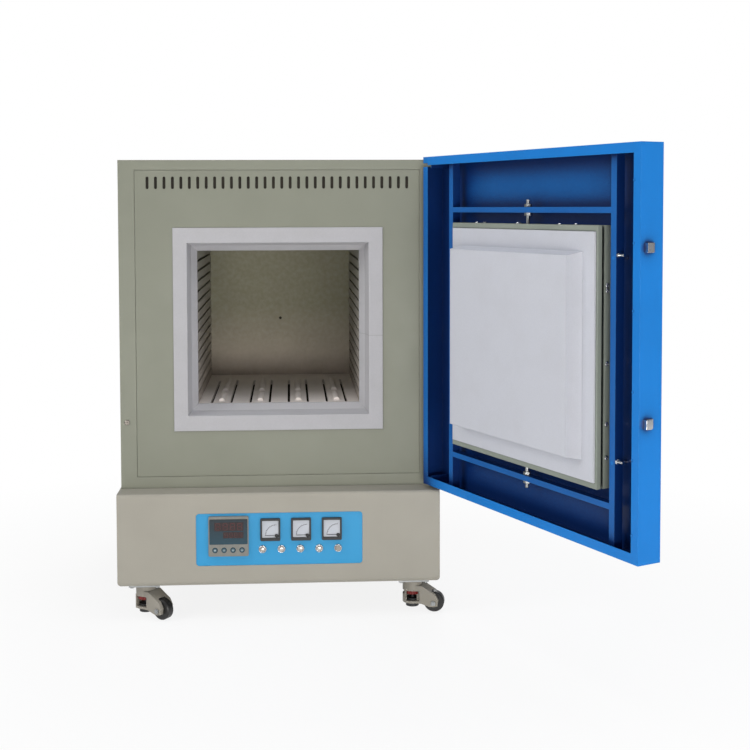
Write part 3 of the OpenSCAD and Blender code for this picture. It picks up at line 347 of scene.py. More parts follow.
FINISH = {
    "casing_shell": casing_paint, "front_panel": panel_paint, "back_cover": casing_paint,
    "chamber_walls": wall_fibre, "chamber_floor": floor_fibre, "chamber_back_wall": back_fibre,
    "mouth_collar": collar_fibre, "heating_elements": coil_alloy, "insulation_jacket": blanket,
    "thermocouple": alumina, "base_shell": base_paint, "base_back_cover": base_paint,
    "cable_gland": black_abs, "power_regulator": sink_metal, "fascia_panel": fascia_film,
    "controller": bezel_abs, "meter_housings": black_abs, "button_bezels": chrome,
    "lock_switch": switch_nickel, "hinge_brackets": casing_paint, "latch_bases": zinc,
    "door_shell": door_paint, "door_subframe": frame_paint_shaded, "plug_carrier": carrier_paint,
    "door_plug": plug_fibre, "suspension_bolts": zinc, "door_handle": chrome,
    "latch_keepers": chrome, "caster_plates": zinc,
}
for level in ("upper", "lower"):
    FINISH[f"latch_lever_{level}"] = chrome
    FINISH[f"latch_bail_{level}"] = chrome
for n in range(1, 5):
    FINISH[f"controller_key_{n}"] = key_rubber
    FINISH[f"push_button_{n}"] = button_steel
    FINISH[f"caster_fork_{n}"] = casting
    FINISH[f"caster_wheel_{n}"] = nylon
    FINISH[f"caster_dial_{n}"] = red_abs
    FINISH[f"caster_foot_{n}"] = black_abs
for n in range(1, 4):
    FINISH[f"meter_needle_{n}"] = needle_paint
for name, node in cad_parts.items():
    for slot in node.material_slots:
        slot.material = FINISH[name]


# ---------------------------------------------------------------- how pieces are made

def finish_piece(piece, body, replaces=()):
    """Hands a finished mesh to its body, and hides the parts it replaces."""
    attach(piece, body)
    if replaces:
        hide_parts(*replaces)


def mesh_object(name, build, material, smooth=False):
    """An object whose mesh is made by build(bmesh), with faces outward and doubles merged.
    With smooth None, each face keeps the shading that build gave it."""
    form = bmesh.new()
    build(form)
    bmesh.ops.remove_doubles(form, verts=form.verts, dist=1e-6)
    bmesh.ops.recalc_face_normals(form, faces=form.faces)
    data = bpy.data.meshes.new(name)
    form.to_mesh(data)
    form.free()
    data.materials.append(material)
    if smooth is not None:
        for face in data.polygons:
            face.use_smooth = smooth
    piece = bpy.data.objects.new(name, data)
    bpy.context.scene.collection.objects.link(piece)
    return piece


def baked(piece, modifier):
    """The piece with its modifier's result kept as a plain mesh."""
    bpy.context.view_layer.update()
    piece_now = piece.evaluated_get(bpy.context.evaluated_depsgraph_get())
    made = bpy.data.meshes.new_from_object(piece_now)
    piece.modifiers.remove(modifier)
    piece.data = made
    return piece


def cut_window(name, node, centre, turn, size):
    """A copy of a node's solid with a window cut through its near wall."""
    piece = mesh_object(name, lambda form: form.from_mesh(node.data), node.active_material, None)
    stance = Matrix.Translation(centre) @ turn @ Matrix.Diagonal((*size, 1))
    cutter = mesh_object("window_cutter", lambda form: bmesh.ops.create_cube(
        form, size=1.0, matrix=stance), node.active_material)
    cut = piece.modifiers.new("window", "BOOLEAN")
    cut.operation, cut.solver, cut.object = "DIFFERENCE", "EXACT", cutter
    baked(piece, cut)
    bpy.data.objects.remove(cutter)
    return piece


def round_rod(form, a, b, radius, sides=16):
    """A closed rod from a to b with small broken edges."""
    axis = (b - a).normalized()
    side = axis.orthogonal().normalized()
    other = axis.cross(side)
    broken = min(radius * 0.15, 0.001)
    stations = ((a, radius - broken), (a + axis * broken, radius),
                (b - axis * broken, radius), (b, radius - broken))
    rings = []
    for place, r in stations:
        rings.append([form.verts.new(place + (side * math.cos(k) + other * math.sin(k)) * r)
                      for k in (2 * math.pi * i / sides for i in range(sides))])
    for low, high in zip(rings, rings[1:]):
        for i in range(sides):
            form.faces.new((low[i], low[(i + 1) % sides], high[(i + 1) % sides], high[i]))
    form.faces.new(reversed(rings[0]))
    form.faces.new(rings[-1])


def turned(form, x, z, profile, sides=40):
    """A closed turned shape about the line through x and z along Y; profile is (radius, y) in mm."""
    rings = []
    for radius, y in profile:
        angles = [2 * math.pi * i / sides for i in range(sides if radius else 1)]
        rings.append([form.verts.new(at(x + radius * math.cos(k), y, z + radius * math.sin(k))) for k in angles])
    for low, high in zip(rings, rings[1:]):
        for i in range(max(len(low), len(high))):
            j = (i + 1) % sides
            corners = [low[i % len(low)], low[j % len(low)], high[j % len(high)], high[i % len(high)]]
            corners = list(dict.fromkeys(corners))
            if len(corners) > 2:
                form.faces.new(corners)


def prism(form, outline, front_y, back_y):
    """A closed flat piece in the XZ plane, from its outline of (x, z) points."""
    front = [form.verts.new(at(x, front_y, z)) for x, z in outline]
    back = [form.verts.new(at(x, back_y, z)) for x, z in outline]
    form.faces.new(front)
    form.faces.new(reversed(back))
    for i in range(len(outline)):
        j = (i + 1) % len(outline)
        form.faces.new((front[i], back[i], back[j], front[j]))


def plate(form, x, z, width, height, y, thick, corner, steps=4):
    """A flat plate in the XZ plane with rounded corners, its front at y."""
    outline = []
    for sx, sz, first in ((1, 1, 0), (-1, 1, 90), (-1, -1, 180), (1, -1, 270)):
        for i in range(steps + 1):
            k = math.radians(first + 90 * i / steps)
            outline.append((x + sx * (width / 2 - corner) + corner * math.cos(k),
                            z + sz * (height / 2 - corner) + corner * math.sin(k)))
    prism(form, outline, y, y + thick)


# ---------------------------------------------------------------- repeated pieces, by geometry nodes

def new_tree(name, sizes, counts=()):
    """A geometry tree with a mesh in, a mesh out, and a named number input for each size and count."""
    tree = bpy.data.node_groups.new(name, "GeometryNodeTree")
    tree.interface.new_socket("Geometry", in_out="INPUT", socket_type="NodeSocketGeometry")
    for label in sizes:
        tree.interface.new_socket(label, in_out="INPUT", socket_type="NodeSocketFloat")
    for label in counts:
        tree.interface.new_socket(label, in_out="INPUT", socket_type="NodeSocketInt")
    tree.interface.new_socket("Geometry", in_out="OUTPUT", socket_type="NodeSocketGeometry")
    return tree, tree.nodes.new("NodeGroupInput").outputs


def facing_copies(tree, points, shape, material):
    """Ends a tree: a real copy of the shape on every point, its Z along the point's facing."""
    way = add(tree, "GeometryNodeInputNamedAttribute", {"data_type": "FLOAT_VECTOR"}, {"Name": "facing"})
    turn = add(tree, "FunctionNodeAlignRotationToVector", {"axis": "Z"}, {"Vector": way})
    copies = add(tree, "GeometryNodeInstanceOnPoints", {}, {"Points": points, "Instance": shape, "Rotation": turn})
    real = add(tree, "GeometryNodeRealizeInstances", {}, {"Geometry": copies})
    done = add(tree, "GeometryNodeSetMaterial", {}, {"Geometry": real, "Material": material})
    feed(tree, tree.nodes.new("NodeGroupOutput").inputs[0], done)
    return tree


def screw_tree(name, material):
    """A pan head with a cross recess, by its radius and height."""
    tree, given = new_tree(name, ("Radius", "Height"))
    disc = add(tree, "GeometryNodeMeshCylinder", {"fill_type": "NGON"}, {
        "Vertices": 20, "Radius": given["Radius"], "Depth": given["Height"]})
    dome = add(tree, "ShaderNodeMath", {"operation": "MULTIPLY"}, {0: given["Height"], 1: 0.35})
    rise = add(tree, "ShaderNodeCombineXYZ", {}, {"Z": dome})
    domed = add(tree, "GeometryNodeExtrudeMesh", {"mode": "FACES"}, {
        "Mesh": disc, "Selection": disc.outputs["Top"], "Offset": rise})
    shut = add(tree, "GeometryNodeScaleElements", {"domain": "FACE"}, {
        "Geometry": domed, "Selection": domed.outputs["Top"], "Scale": 0.72})
    long = add(tree, "ShaderNodeMath", {"operation": "MULTIPLY"}, {0: given["Radius"], 1: 1.1})
    thin = add(tree, "ShaderNodeMath", {"operation": "MULTIPLY"}, {0: given["Radius"], 1: 0.24})
    cross = add(tree, "GeometryNodeMeshBoolean", {"operation": "UNION"}, {})
    for x, y in ((long, thin), (thin, long)):
        size = add(tree, "ShaderNodeCombineXYZ", {}, {"X": x, "Y": y, "Z": given["Height"]})
        bar = add(tree, "GeometryNodeMeshCube", {}, {"Size": size})
        feed(tree, cross.inputs["Mesh 2"], bar)
    high = add(tree, "ShaderNodeMath", {"operation": "MULTIPLY"}, {0: given["Height"], 1: 0.95})
    lift = add(tree, "ShaderNodeCombineXYZ", {}, {"Z": high})
    raised = add(tree, "GeometryNodeTransform", {}, {"Geometry": cross, "Translation": lift})
    recessed = add(tree, "GeometryNodeMeshBoolean", {"operation": "DIFFERENCE"}, {"Mesh 1": shut, "Mesh 2": raised})
    return facing_copies(tree, given["Geometry"], recessed, material)


def nut_tree(name, material):
    """A hexagon nut with its bolt's end, by radius, height and the bolt's reach."""
    tree, given = new_tree(name, ("Radius", "Height", "Reach"))
    nut = add(tree, "GeometryNodeMeshCylinder", {"fill_type": "NGON"}, {
        "Vertices": 6, "Radius": given["Radius"], "Depth": given["Height"]})
    half = add(tree, "ShaderNodeMath", {"operation": "MULTIPLY"}, {0: given["Radius"], 1: 0.52})
    through = add(tree, "ShaderNodeMath", {"operation": "ADD"}, {0: given["Height"], 1: given["Reach"]})
    bolt = add(tree, "GeometryNodeMeshCylinder", {"fill_type": "NGON"}, {
        "Vertices": 16, "Radius": half, "Depth": through})
    half_reach = add(tree, "ShaderNodeMath", {"operation": "MULTIPLY"}, {0: given["Reach"], 1: 0.5})
    rise = add(tree, "ShaderNodeCombineXYZ", {}, {"Z": half_reach})
    raised = add(tree, "GeometryNodeTransform", {}, {"Geometry": bolt, "Translation": rise})
    both = add(tree, "GeometryNodeJoinGeometry", {}, {})
    for part in (nut, raised):
        feed(tree, both.inputs[0], part)
    return facing_copies(tree, given["Geometry"], both, material)


def dot_tree(name, material):
    """A low round weld dot, by radius and height."""
    tree, given = new_tree(name, ("Radius", "Height"))
    ball = add(tree, "GeometryNodeMeshUVSphere", {}, {"Segments": 14, "Rings": 8, "Radius": given["Radius"]})
    flat = add(tree, "ShaderNodeMath", {"operation": "DIVIDE"}, {0: given["Height"], 1: given["Radius"]})
    squash = add(tree, "ShaderNodeCombineXYZ", {}, {"X": 1.0, "Y": 1.0, "Z": flat})
    low = add(tree, "GeometryNodeTransform", {}, {"Geometry": ball, "Scale": squash})
    return facing_copies(tree, given["Geometry"], low, material)


def coil_tree(name, material):
    """A resistance coil wound along the point's facing, by turns, coil radius, wire radius and length."""
    tree, given = new_tree(name, ("Turns", "Coil", "Wire", "Length"))
    wound = add(tree, "GeometryNodeCurveSpiral", {}, {
        "Resolution": 10, "Rotations": given["Turns"], "Start Radius": given["Coil"],
        "End Radius": given["Coil"], "Height": given["Length"]})
    ring = add(tree, "GeometryNodeCurvePrimitiveCircle", {"mode": "RADIUS"}, {
        "Resolution": 5, "Radius": given["Wire"]})
    wire = add(tree, "GeometryNodeCurveToMesh", {}, {"Curve": wound, "Profile Curve": ring, "Fill Caps": True})
    return facing_copies(tree, given["Geometry"], wire, material)


def scale_tree(name, material):
    """Marks on an arc about the point, from straight left to straight up, by radius, length, thickness
    and count."""
    tree, given = new_tree(name, ("Radius", "Long", "Thick"), ("Count",))
    arc = add(tree, "GeometryNodeCurveArc", {"mode": "RADIUS"}, {
        "Resolution": 24, "Radius": given["Radius"], "Start Angle": math.pi / 2, "Sweep Angle": math.pi / 2})
    spots = add(tree, "GeometryNodeCurveToPoints", {"mode": "COUNT"}, {"Curve": arc, "Count": given["Count"]})
    size = add(tree, "ShaderNodeCombineXYZ", {}, {"X": given["Thick"], "Y": given["Long"], "Z": given["Thick"]})
    bar = add(tree, "GeometryNodeMeshCube", {}, {"Size": size})
    outward = add(tree, "GeometryNodeInputPosition", {}, {})
    turn = add(tree, "FunctionNodeAlignRotationToVector", {"axis": "Y"}, {"Vector": outward})
    marks = add(tree, "GeometryNodeInstanceOnPoints", {}, {"Points": spots, "Instance": bar, "Rotation": turn})
    half = add(tree, "ShaderNodeMath", {"operation": "MULTIPLY"}, {0: given["Thick"], 1: 0.5})
    ring = add(tree, "GeometryNodeCurvePrimitiveCircle", {"mode": "RADIUS"}, {"Resolution": 4, "Radius": half})
    rail = add(tree, "GeometryNodeCurveToMesh", {}, {"Curve": arc, "Profile Curve": ring, "Fill Caps": True})
    both = add(tree, "GeometryNodeJoinGeometry", {}, {})
    for part in (rail, marks):
        feed(tree, both.inputs[0], part)
    return facing_copies(tree, given["Geometry"], both, material)


def scatter(name, places, tree, body, slot, replaces=(), **sizes):
    """A finished piece: the tree's shape at every (place, facing). Sizes are in mm, and turns and
    counts are numbers."""
    data = bpy.data.meshes.new(name)
    data.from_pydata([tuple(place) for place, way in places], [], [])
    ways = data.attributes.new("facing", "FLOAT_VECTOR", "POINT")
    for i, (place, way) in enumerate(places):
        ways.data[i].vector = way
    piece = bpy.data.objects.new(name, data)
    bpy.context.scene.collection.objects.link(piece)
    run = piece.modifiers.new("form", "NODES")
    run.node_group = tree
    for item in tree.interface.items_tree:
        if item.in_out == "INPUT" and item.name in sizes:
            size = sizes[item.name]
            run[item.identifier] = size if item.name in ("Turns", "Count") else size * MM
    baked(piece, run)
    for face in piece.data.polygons:
        face.use_smooth = False
    finish_piece(piece, body, replaces)


# ---------------------------------------------------------------- pieces of the door and casing

TO_FREE_END = door_way(-1, 0, 0)

# Screws on the carrier's top and end, bright against the grey-green trays and seated a little in them
CARRIER_TOP, CARRIER_END, SEAT = 956, -260, 0.4
FRONT_TRAY_DEPTH, REAR_TRAY_DEPTH, TRAY_END_DEPTH = 9, 29, 27
FRONT_TRAY_SCREWS_X, REAR_TRAY_SCREWS_X = (166, 10, -135, -187), (163, 28)
TRAY_END_SCREWS_Z = (838, 828, 684, 564, 497)
heads = [(on_door(x, FRONT_TRAY_DEPTH, CARRIER_TOP - SEAT), UP) for x in FRONT_TRAY_SCREWS_X]
heads += [(on_door(x, REAR_TRAY_DEPTH, CARRIER_TOP - SEAT), UP) for x in REAR_TRAY_SCREWS_X]
heads += [(on_door(CARRIER_END + SEAT, TRAY_END_DEPTH, z), TO_FREE_END) for z in TRAY_END_SCREWS_Z]
scatter("carrier_screws", heads, screw_tree("carrier_screw", chrome), "door", "chrome", Radius=4.8, Height=4.2)

# Cross screws of the posts, each with its nut, on the side that faces the free end
POST_SIDE, POST_SCREW_DEPTH, POST_SCREWS_Z = -299, 24, (899, 497)
nuts = [(on_door(POST_SIDE, POST_SCREW_DEPTH, z), TO_FREE_END) for z in POST_SCREWS_Z]
scatter("post_nuts", nuts, nut_tree("post_nut", chrome), "door", "chrome", Radius=6.2, Height=7, Reach=12)

# Weld dots along the inner edge of the free end's lip
LIP_EDGE, LIP_FACE, WELDS_Z = -366.5, 0.1, (1042, 924, 797, 644, 515, 372)
welds = [(on_door(LIP_EDGE, LIP_FACE, z), door_way(0, 1, 0)) for z in WELDS_Z]
scatter("lip_welds", welds, dot_tree("lip_weld", door_paint), "door", "door_paint", Radius=2.6, Height=1.2)

# The one screw in the casing's left margin
MARGIN_SCREW = at(-369, -SEAT, 471)
scatter("casing_screw", [(MARGIN_SCREW, FORWARD)], screw_tree("casing_screw_head", switch_nickel),
        "furnace", "zinc_steel", Radius=6.6, Height=2.8)

# Screws that hold the rear covers: two rows and the middle of each side above, two rows below
COVER_FACE = 822.2
BACK_COVER_X, BACK_COVER_Z, BACK_COVER_MIDDLE = (-372, -186, 0, 186, 372), (322, 1094), 708
BASE_COVER_X, BASE_COVER_Z = (-374, -187, 187, 374), (98, 294)
rear = [(x, z) for x in BACK_COVER_X for z in BACK_COVER_Z]
rear += [(x, BACK_COVER_MIDDLE) for x in (BACK_COVER_X[0], BACK_COVER_X[-1])]
rear += [(x, z) for x in BASE_COVER_X for z in BASE_COVER_Z]
scatter("rear_cover_screws", [(at(x, COVER_FACE, z), REARWARD) for x, z in rear], screw_tree("rear_screw", zinc),
        "furnace", "zinc_steel", Radius=4.8, Height=2.4)

# Heating coils in their channels
COIL_FRONT, WALL_COIL_LENGTH, HEARTH_COIL_LENGTH = 68, 488, 380
scatter("wall_coils", [(at(x, COIL_FRONT, z), REARWARD) for x, z in WALL_CHANNELS],
        coil_tree("wall_coil", coil_alloy), "furnace", "resistance_alloy", ("heating_elements",),
        Turns=54.0, Coil=5.0, Wire=1.3, Length=WALL_COIL_LENGTH)
scatter("floor_coils", [(at(x, COIL_FRONT, z), REARWARD) for x, z in HEARTH_CHANNELS],
        coil_tree("floor_coil", coil_alloy), "furnace", "resistance_alloy",
        Turns=42.0, Coil=5.0, Wire=1.3, Length=HEARTH_COIL_LENGTH)

# Terminal rods that lead the coils out through the back wall
WALL_RODS_Y, HEARTH_RODS_Y, RODS_END_Y, ROD_RADIUS = 557, 448, 708, 4


def terminal_rods(form):
    """A rod from the end of each coil to its terminal."""
    for channels, start_y in ((WALL_CHANNELS, WALL_RODS_Y), (HEARTH_CHANNELS, HEARTH_RODS_Y)):
        for x, z in channels:
            round_rod(form, at(x, start_y, z), at(x, RODS_END_Y, z), ROD_RADIUS * MM, 12)


finish_piece(mesh_object("coil_terminals", terminal_rods, coil_alloy), "furnace")


# ---------------------------------------------------------------- pieces of the control panel

# Four buttons and the lock switch: rolled chrome rings, and slightly domed caps on the buttons, both as
# (radius, depth behind the fascia's face)
FASCIA_Y, BUTTON_Z, FIRST_BUTTON_X, BUTTON_PITCH = -62, 171, -41, 45.5
BUTTON_X = [FIRST_BUTTON_X + i * BUTTON_PITCH for i in range(5)]
RING = ((7.15, 20), (7.15, -3.4), (7.6, -3.95), (8.3, -3.8), (9.3, -2.9), (9.85, -1.7), (10, -0.6), (10, 0),
        (8.4, 0), (8.4, 22), (7.15, 22), (7.15, 20))
CAP = ((0, -6), (2.5, -5.9), (4.8, -5.5), (6.2, -4.8), (6.8, -3.8), (6.8, 16.7), (0, 16.7))
ring_profile = [(radius, FASCIA_Y + y) for radius, y in RING]
cap_profile = [(radius, FASCIA_Y + y) for radius, y in CAP]
button_rings = mesh_object("button_rings", lambda form: [
    turned(form, x, BUTTON_Z, ring_profile) for x in BUTTON_X], chrome, True)
finish_piece(button_rings, "furnace", ("button_bezels",))
for n, x in enumerate(BUTTON_X[:4], 1):
    cap = mesh_object(f"button_cap_{n}", lambda form: turned(form, x, BUTTON_Z, cap_profile), button_steel, True)
    finish_piece(cap, f"push_button_{n}", (f"push_button_{n}",))

# Meters: enamelled plates, scales and pivot caps; the pivot sits low and to the right on each plate
METER_X, METER_Z, METER_FACE = (-22, 52, 126), 219, -65.6
PLATE_RISE, PLATE_WIDTH, PLATE_HEIGHT, PLATE_THICK, PLATE_CORNER = 1, 39.4, 41.4, 0.5, 1.8
SCALE_SHIFT, SCALE_PROUD, CAP_X_SHIFT, CAP_Z_SHIFT = 14, 0.15, 15.5, 15
PIVOT_CAP = ((0, -69.4), (2.8, -69.3), (4.0, -68.7), (4.3, -67.9), (4.3, -67.75), (0, -67.75))
plates = mesh_object("meter_plates", lambda form: [
    plate(form, x, METER_Z + PLATE_RISE, PLATE_WIDTH, PLATE_HEIGHT, METER_FACE, PLATE_THICK, PLATE_CORNER)
    for x in METER_X], dial_plate)
finish_piece(plates, "furnace")
arcs = [(at(x + SCALE_SHIFT, METER_FACE - SCALE_PROUD, METER_Z - SCALE_SHIFT), FORWARD) for x in METER_X]
scatter("meter_scales", arcs, scale_tree("meter_scale", scale_ink), "furnace", "black_plastic",
        Radius=25.5, Count=11, Long=3.2, Thick=0.6)
caps = mesh_object("meter_caps", lambda form: [
    turned(form, x + CAP_X_SHIFT, METER_Z - CAP_Z_SHIFT, PIVOT_CAP, 24) for x in METER_X], black_abs, True)
finish_piece(caps, "furnace")

# Controller: a smoked window, and on it two rows of unlit digits over their filters. A filter is given by
# its x, z, width and height, and a row of digits by its first x, z, pitch, width and height.
CONTROL_X, CONTROL_Z, CONTROL_FACE = -122, 205, -70.6
GLASS_RISE, GLASS_WIDTH, GLASS_HEIGHT, GLASS_THICK, GLASS_CORNER = 11.5, 91, 61, 1.2, 1.5
FILTERS = ((1, 24, 70, 21), (11.5, 3.5, 49, 15))
DIGIT_ROWS = ((-25, 24, 17.3, 10, 15.6), (-5.5, 3.5, 11.4, 6.6, 10.4))
FILTER_FACE, FILTER_THICK, FILTER_CORNER = CONTROL_FACE - 0.25, 0.4, 0.6
DIGIT_FACE, DIGIT_BACK = CONTROL_FACE - 0.35, CONTROL_FACE - 0.2
SEGMENTS = ((0, 1, "flat"), (-0.5, 0.5, "upright"), (0.5, 0.5, "upright"), (0, 0, "flat"),
            (-0.5, -0.5, "upright"), (0.5, -0.5, "upright"), (0, -1, "flat"))


def filters(form):
    """The tinted filter of each row of digits."""
    for x, z, width, height in FILTERS:
        plate(form, CONTROL_X + x, CONTROL_Z + z, width, height, FILTER_FACE, FILTER_THICK, FILTER_CORNER)


def digit(form, x, z, width, height):
    """The seven bars of a display digit, each a thin plate with pointed ends."""
    bar = width * 0.16
    for dx, dz, way in SEGMENTS:
        middle_x, middle_z = x + dx * width, z + dz * height / 2
        half = (width if way == "flat" else height / 2) / 2 - bar * 0.35
        line = [(-half, 0), (-half + bar / 2, bar / 2), (half - bar / 2, bar / 2), (half, 0),
                (half - bar / 2, -bar / 2), (-half + bar / 2, -bar / 2)]
        if way == "upright":
            line = [(b, a) for a, b in line]
        prism(form, [(middle_x + a, middle_z + b) for a, b in line], DIGIT_FACE, DIGIT_BACK)


def digits(form):
    """Four digits in each row."""
    for i in range(4):
        for first, z, pitch, width, height in DIGIT_ROWS:
            digit(form, CONTROL_X + first + i * pitch, CONTROL_Z + z, width, height)


glass = mesh_object("controller_window", lambda form: plate(
    form, CONTROL_X, CONTROL_Z + GLASS_RISE, GLASS_WIDTH, GLASS_HEIGHT, CONTROL_FACE, GLASS_THICK, GLASS_CORNER),
    smoked_window)
finish_piece(glass, "furnace")
finish_piece(mesh_object("display_filters", filters, display), "furnace")
finish_piece(mesh_object("display_digits", digits, segment), "furnace")

# Keys: dark rings round them, the painted shade of the wells they sit in, and raised signs on them: set, left, down
# and up
KEY_PITCH, KEY_Z, KEY_FACE = 21.5, 172, -71.6
KEY_X = [CONTROL_X + (i - 1.5) * KEY_PITCH for i in range(4)]
KEY_WELL_SHADE = ((4.3, -70.1), (4.3, -70.35), (4.6, -70.5), (6.3, -70.5), (6.6, -70.35), (6.6, -70.1), (4.3, -70.1))
SIGN_HIGH, SIGN_DEEP = 0.12, 0.1
SIGNS = (
    ((-1.5, 1.5), (1.5, 1.5), (1.5, -1.5), (-1.5, -1.5)),
    ((-1.8, 0), (1.1, 1.8), (1.1, -1.8)),
    ((0, -1.8), (-1.8, 1.1), (1.8, 1.1)),
    ((0, 1.8), (1.8, -1.1), (-1.8, -1.1)),
)
# Dark rings in the key wells: painted shade
key_well_shades = mesh_object("key_well_shades", lambda form: [
    turned(form, x, KEY_Z, KEY_WELL_SHADE, 32) for x in KEY_X], smoked_window)
finish_piece(key_well_shades, "furnace")
for n, (x, sign) in enumerate(zip(KEY_X, SIGNS), 1):
    raised = mesh_object(f"key_sign_{n}", lambda form: prism(
        form, [(x + a, KEY_Z + b) for a, b in sign], KEY_FACE - SIGN_HIGH, KEY_FACE + SIGN_DEEP), key_mark)
    finish_piece(raised, f"controller_key_{n}")


# ---------------------------------------------------------------- casters, handle and hinge

# Casters: a window in each fork shows its red height dial
CASTER_TURNS = [math.radians(angle) for angle in (-35, -13, 25, 155)]
CASTER_AXES = ((-326, -15), (326, -15), (-326, 771), (326, 771))
DIAL_Z, FORK_WINDOW_PLACE, FORK_WINDOW_SIZE = 40, Vector((4, -20, 0)), (32, 16, 25)
for n, (angle, axis) in enumerate(zip(CASTER_TURNS, CASTER_AXES), 1):
    turn = Matrix.Rotation(angle, 4, "Z")
    centre = at(*axis, DIAL_Z) + turn.to_3x3() @ FORK_WINDOW_PLACE * MM
    size = [edge * MM for edge in FORK_WINDOW_SIZE]
    fork = cut_window(f"fork_{n}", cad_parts[f"caster_fork_{n}"], centre, turn, size)
    finish_piece(fork, f"caster_fork_{n}", (f"caster_fork_{n}",))

# Axle bolt and nut of each caster
AXLE_REACH = 23.8
for n, angle in enumerate(CASTER_TURNS, 1):
    low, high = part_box(f"caster_wheel_{n}")
    axle = Vector((-math.sin(angle), math.cos(angle), 0))
    ends = [((low + high) / 2 + axle * side * (AXLE_REACH * MM), axle * side) for side in (-1, 1)]
    scatter(f"axle_nuts_{n}", ends, nut_tree(f"axle_nut_{n}", zinc), f"caster_fork_{n}", "zinc_steel",
            Radius=6.2, Height=3.5, Reach=1)

# The door's handle: a polished bar on two standoffs, whose bolts end inside the posts behind stoppers
GRIP_X, GRIP_Z, GRIP_HALF, STANDOFF = -289, 693, 224, 200
GRIP_DEPTH, DOOR_OUTER, BOLT_HEAD, BOLT_TIP = 102, 55.2, 56, 31
STOPPER_BACK, STOPPER_FRONT = 30.5, 17.6
GRIP_RADIUS, STANDOFF_RADIUS, BOLT_RADIUS, STOPPER_RADIUS = 9, 7, 4, 4.6
STANDOFFS_Z = (GRIP_Z - STANDOFF, GRIP_Z + STANDOFF)


def grip(form):
    """The bar, its standoffs and their bolts."""
    foot, head = (on_door(GRIP_X, GRIP_DEPTH, z) for z in (GRIP_Z - GRIP_HALF, GRIP_Z + GRIP_HALF))
    round_rod(form, foot, head, GRIP_RADIUS * MM, 28)
    for z in STANDOFFS_Z:
        round_rod(form, on_door(GRIP_X, GRIP_DEPTH, z), on_door(GRIP_X, DOOR_OUTER, z), STANDOFF_RADIUS * MM, 20)
        round_rod(form, on_door(GRIP_X, BOLT_HEAD, z), on_door(GRIP_X, BOLT_TIP, z), BOLT_RADIUS * MM, 12)


def stoppers(form):
    """Round plugs in the posts, before the ends of the handle's bolts."""
    for z in STANDOFFS_Z:
        back, front = (on_door(GRIP_X, depth, z) for depth in (STOPPER_BACK, STOPPER_FRONT))
        round_rod(form, back, front, STOPPER_RADIUS * MM, 20)


finish_piece(mesh_object("grip_bar", grip, chrome), "door", ("door_handle",))
finish_piece(mesh_object("post_stoppers", stoppers, door_paint), "door")

# Pocket walls that box the hinge notches off from the tray
POCKET_X, POCKET_DEPTH, NOTCHES_Z = (351, 352.5), (2, 51), ((319.5, 341), (1086, 1110.5))
BOX_FACES = ((0, 1, 3, 2), (4, 6, 7, 5), (0, 4, 5, 1), (2, 3, 7, 6), (0, 2, 6, 4), (1, 5, 7, 3))


def pockets(form):
    """A thin upright wall beside each hinge notch."""
    for notch in NOTCHES_Z:
        corners = [form.verts.new(on_door(x, depth, z)) for x in POCKET_X for depth in POCKET_DEPTH for z in notch]
        for face in BOX_FACES:
            form.faces.new([corners[i] for i in face])


finish_piece(mesh_object("hinge_pockets", pockets, door_paint), "door")


# ---------------------------------------------------------------- stage

WHITE = (1, 1, 1, 1)


def floor_material():
    """Pale studio floor: it keeps the shadow near the furnace and fades to the white surround."""
    material, tree, shader, place = start("studio_floor", Base_Color=rgb("#F4F4F4"), Roughness=0.9)
    seen = add(tree, "ShaderNodeLightPath", {}, {})
    direct = add(tree, "ShaderNodeMath", {"operation": "MAXIMUM"}, {
        0: seen.outputs["Is Camera Ray"], 1: seen.outputs["Is Glossy Ray"]})
    clear = add(tree, "ShaderNodeMath", {"operation": "MAXIMUM"}, {
        0: direct, 1: seen.outputs["Is Transmission Ray"]})
    away = add(tree, "ShaderNodeVectorMath", {"operation": "LENGTH"}, {0: place}).outputs["Value"]
    fade = add(tree, "ShaderNodeMapRange", {}, {
        "Value": away, "From Min": 0.7, "From Max": 1.7, "To Min": 0.86, "To Max": 1.0})
    share = add(tree, "ShaderNodeMath", {"operation": "MULTIPLY"}, {0: clear, 1: fade})
    white = add(tree, "ShaderNodeEmission", {}, {"Color": WHITE, "Strength": 1.0})
    mixed = add(tree, "ShaderNodeMixShader", {}, {0: share, 1: shader, 2: white})
    feed(tree, tree.nodes["Material Output"].inputs["Surface"], mixed)
    return material


FLOOR_RADIUS, FLOOR_DROP = 4.0, 0.0002
floor = mesh_object("floor", lambda form: bmesh.ops.create_circle(
    form, cap_ends=True, segments=64, radius=FLOOR_RADIUS), floor_material())
floor.location.z = -FLOOR_DROP

# The world lights the furnace softly, and is white where it is seen
world = bpy.data.worlds.new("studio")
bpy.context.scene.world = world
world.use_nodes = True
tree = world.node_tree
seen = add(tree, "ShaderNodeLightPath", {}, {})
clear = add(tree, "ShaderNodeMath", {"operation": "MAXIMUM"}, {
    0: seen.outputs["Is Camera Ray"], 1: seen.outputs["Is Transmission Ray"]})
room = add(tree, "ShaderNodeBackground", {}, {"Color": rgb("#F5F6F9"), "Strength": 0.36})
white = add(tree, "ShaderNodeBackground", {}, {"Color": WHITE, "Strength": 1.0})
mixed = add(tree, "ShaderNodeMixShader", {}, {0: clear, 1: room, 2: white})
feed(tree, tree.nodes["World Output"].inputs["Surface"], mixed)


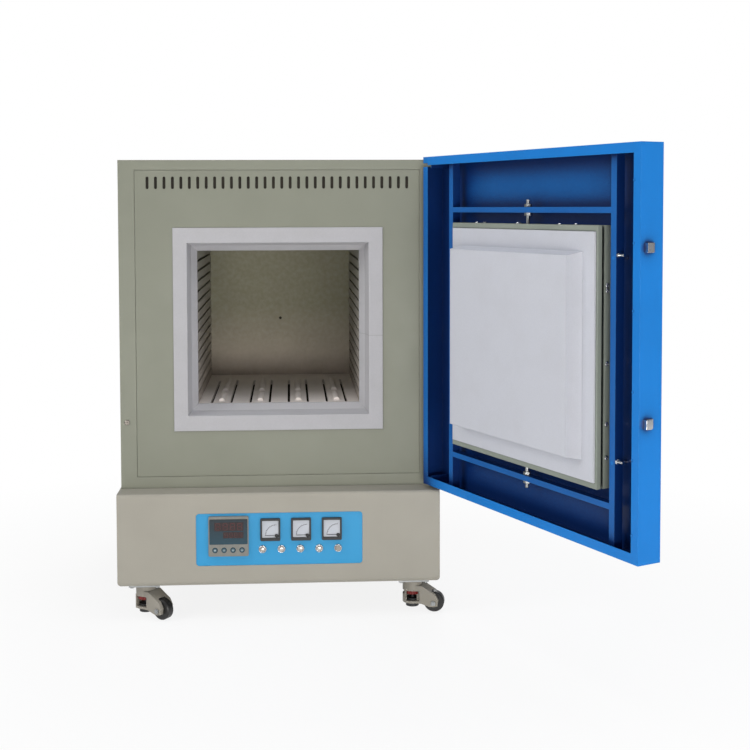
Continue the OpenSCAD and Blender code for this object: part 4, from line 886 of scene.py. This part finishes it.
def lamp(name, place, aim, size, power, colour="#FFFFFF"):
    """A rectangular softbox at place, turned to aim, in metres and watts."""
    data = bpy.data.lights.new(name, "AREA")
    data.shape = "RECTANGLE"
    data.size, data.size_y = size
    data.energy = power
    data.color = rgb(colour)[:3]
    light = bpy.data.objects.new(name, data)
    light.location = place
    light.rotation_euler = (Vector(aim) - Vector(place)).to_track_quat("-Z", "Y").to_euler()
    bpy.context.scene.collection.objects.link(light)


lamp("key", (-3.2, -1.2, 2.4), (0.3, -0.2, 0.85), (1.8, 1.8), 50)
lamp("overhead", (0.5, -0.7, 3.0), (0.3, -0.3, 0.8), (2.0, 1.8), 30, "#F8FAFF")
lamp("front", (0.3, -3.6, 0.2), (0.0, 0.0, 0.4), (2.6, 0.6), 62, "#FFFCF6")
lamp("rear", (0.6, 3.8, 2.2), (0.0, 0.4, 0.6), (2.0, 2.0), 60)
lamp("fill", (2.8, -2.8, 0.9), (0.0, 0.0, 0.6), (1.6, 1.6), 9)


# ---------------------------------------------------------------- camera

# The eye in the casing's millimetres, and the image's side, focal length and principal point in pixels
EYE = (28.709, -2887.792, 993.54)
YAW, PITCH, ROLL = 0.053249, 0.046886, -0.003133
IMAGE_SIDE, FOCAL, PRINCIPAL_X, PRINCIPAL_Y = 750, 1184.888, 352.996, 262.432
SENSOR = 36.0

ahead = Vector((math.sin(YAW) * math.cos(PITCH), math.cos(YAW) * math.cos(PITCH), -math.sin(PITCH)))
level = Vector((math.cos(YAW), -math.sin(YAW), 0))
upright = level.cross(ahead)
right = level * math.cos(ROLL) + upright * math.sin(ROLL)
up = upright * math.cos(ROLL) - level * math.sin(ROLL)
lens = bpy.data.cameras.new("camera")
lens.sensor_width = SENSOR
lens.lens = FOCAL / IMAGE_SIDE * SENSOR
lens.shift_x = (IMAGE_SIDE / 2 - PRINCIPAL_X) / IMAGE_SIDE
lens.shift_y = (PRINCIPAL_Y - IMAGE_SIDE / 2) / IMAGE_SIDE
camera = bpy.data.objects.new("camera", lens)
bpy.context.scene.collection.objects.link(camera)
camera.matrix_world = Matrix.Translation(at(*EYE)) @ Matrix((
    (right.x, up.x, -ahead.x), (right.y, up.y, -ahead.y), (right.z, up.z, -ahead.z))).to_4x4()
bpy.context.scene.camera = camera
bpy.context.scene.view_settings.view_transform = "Standard"
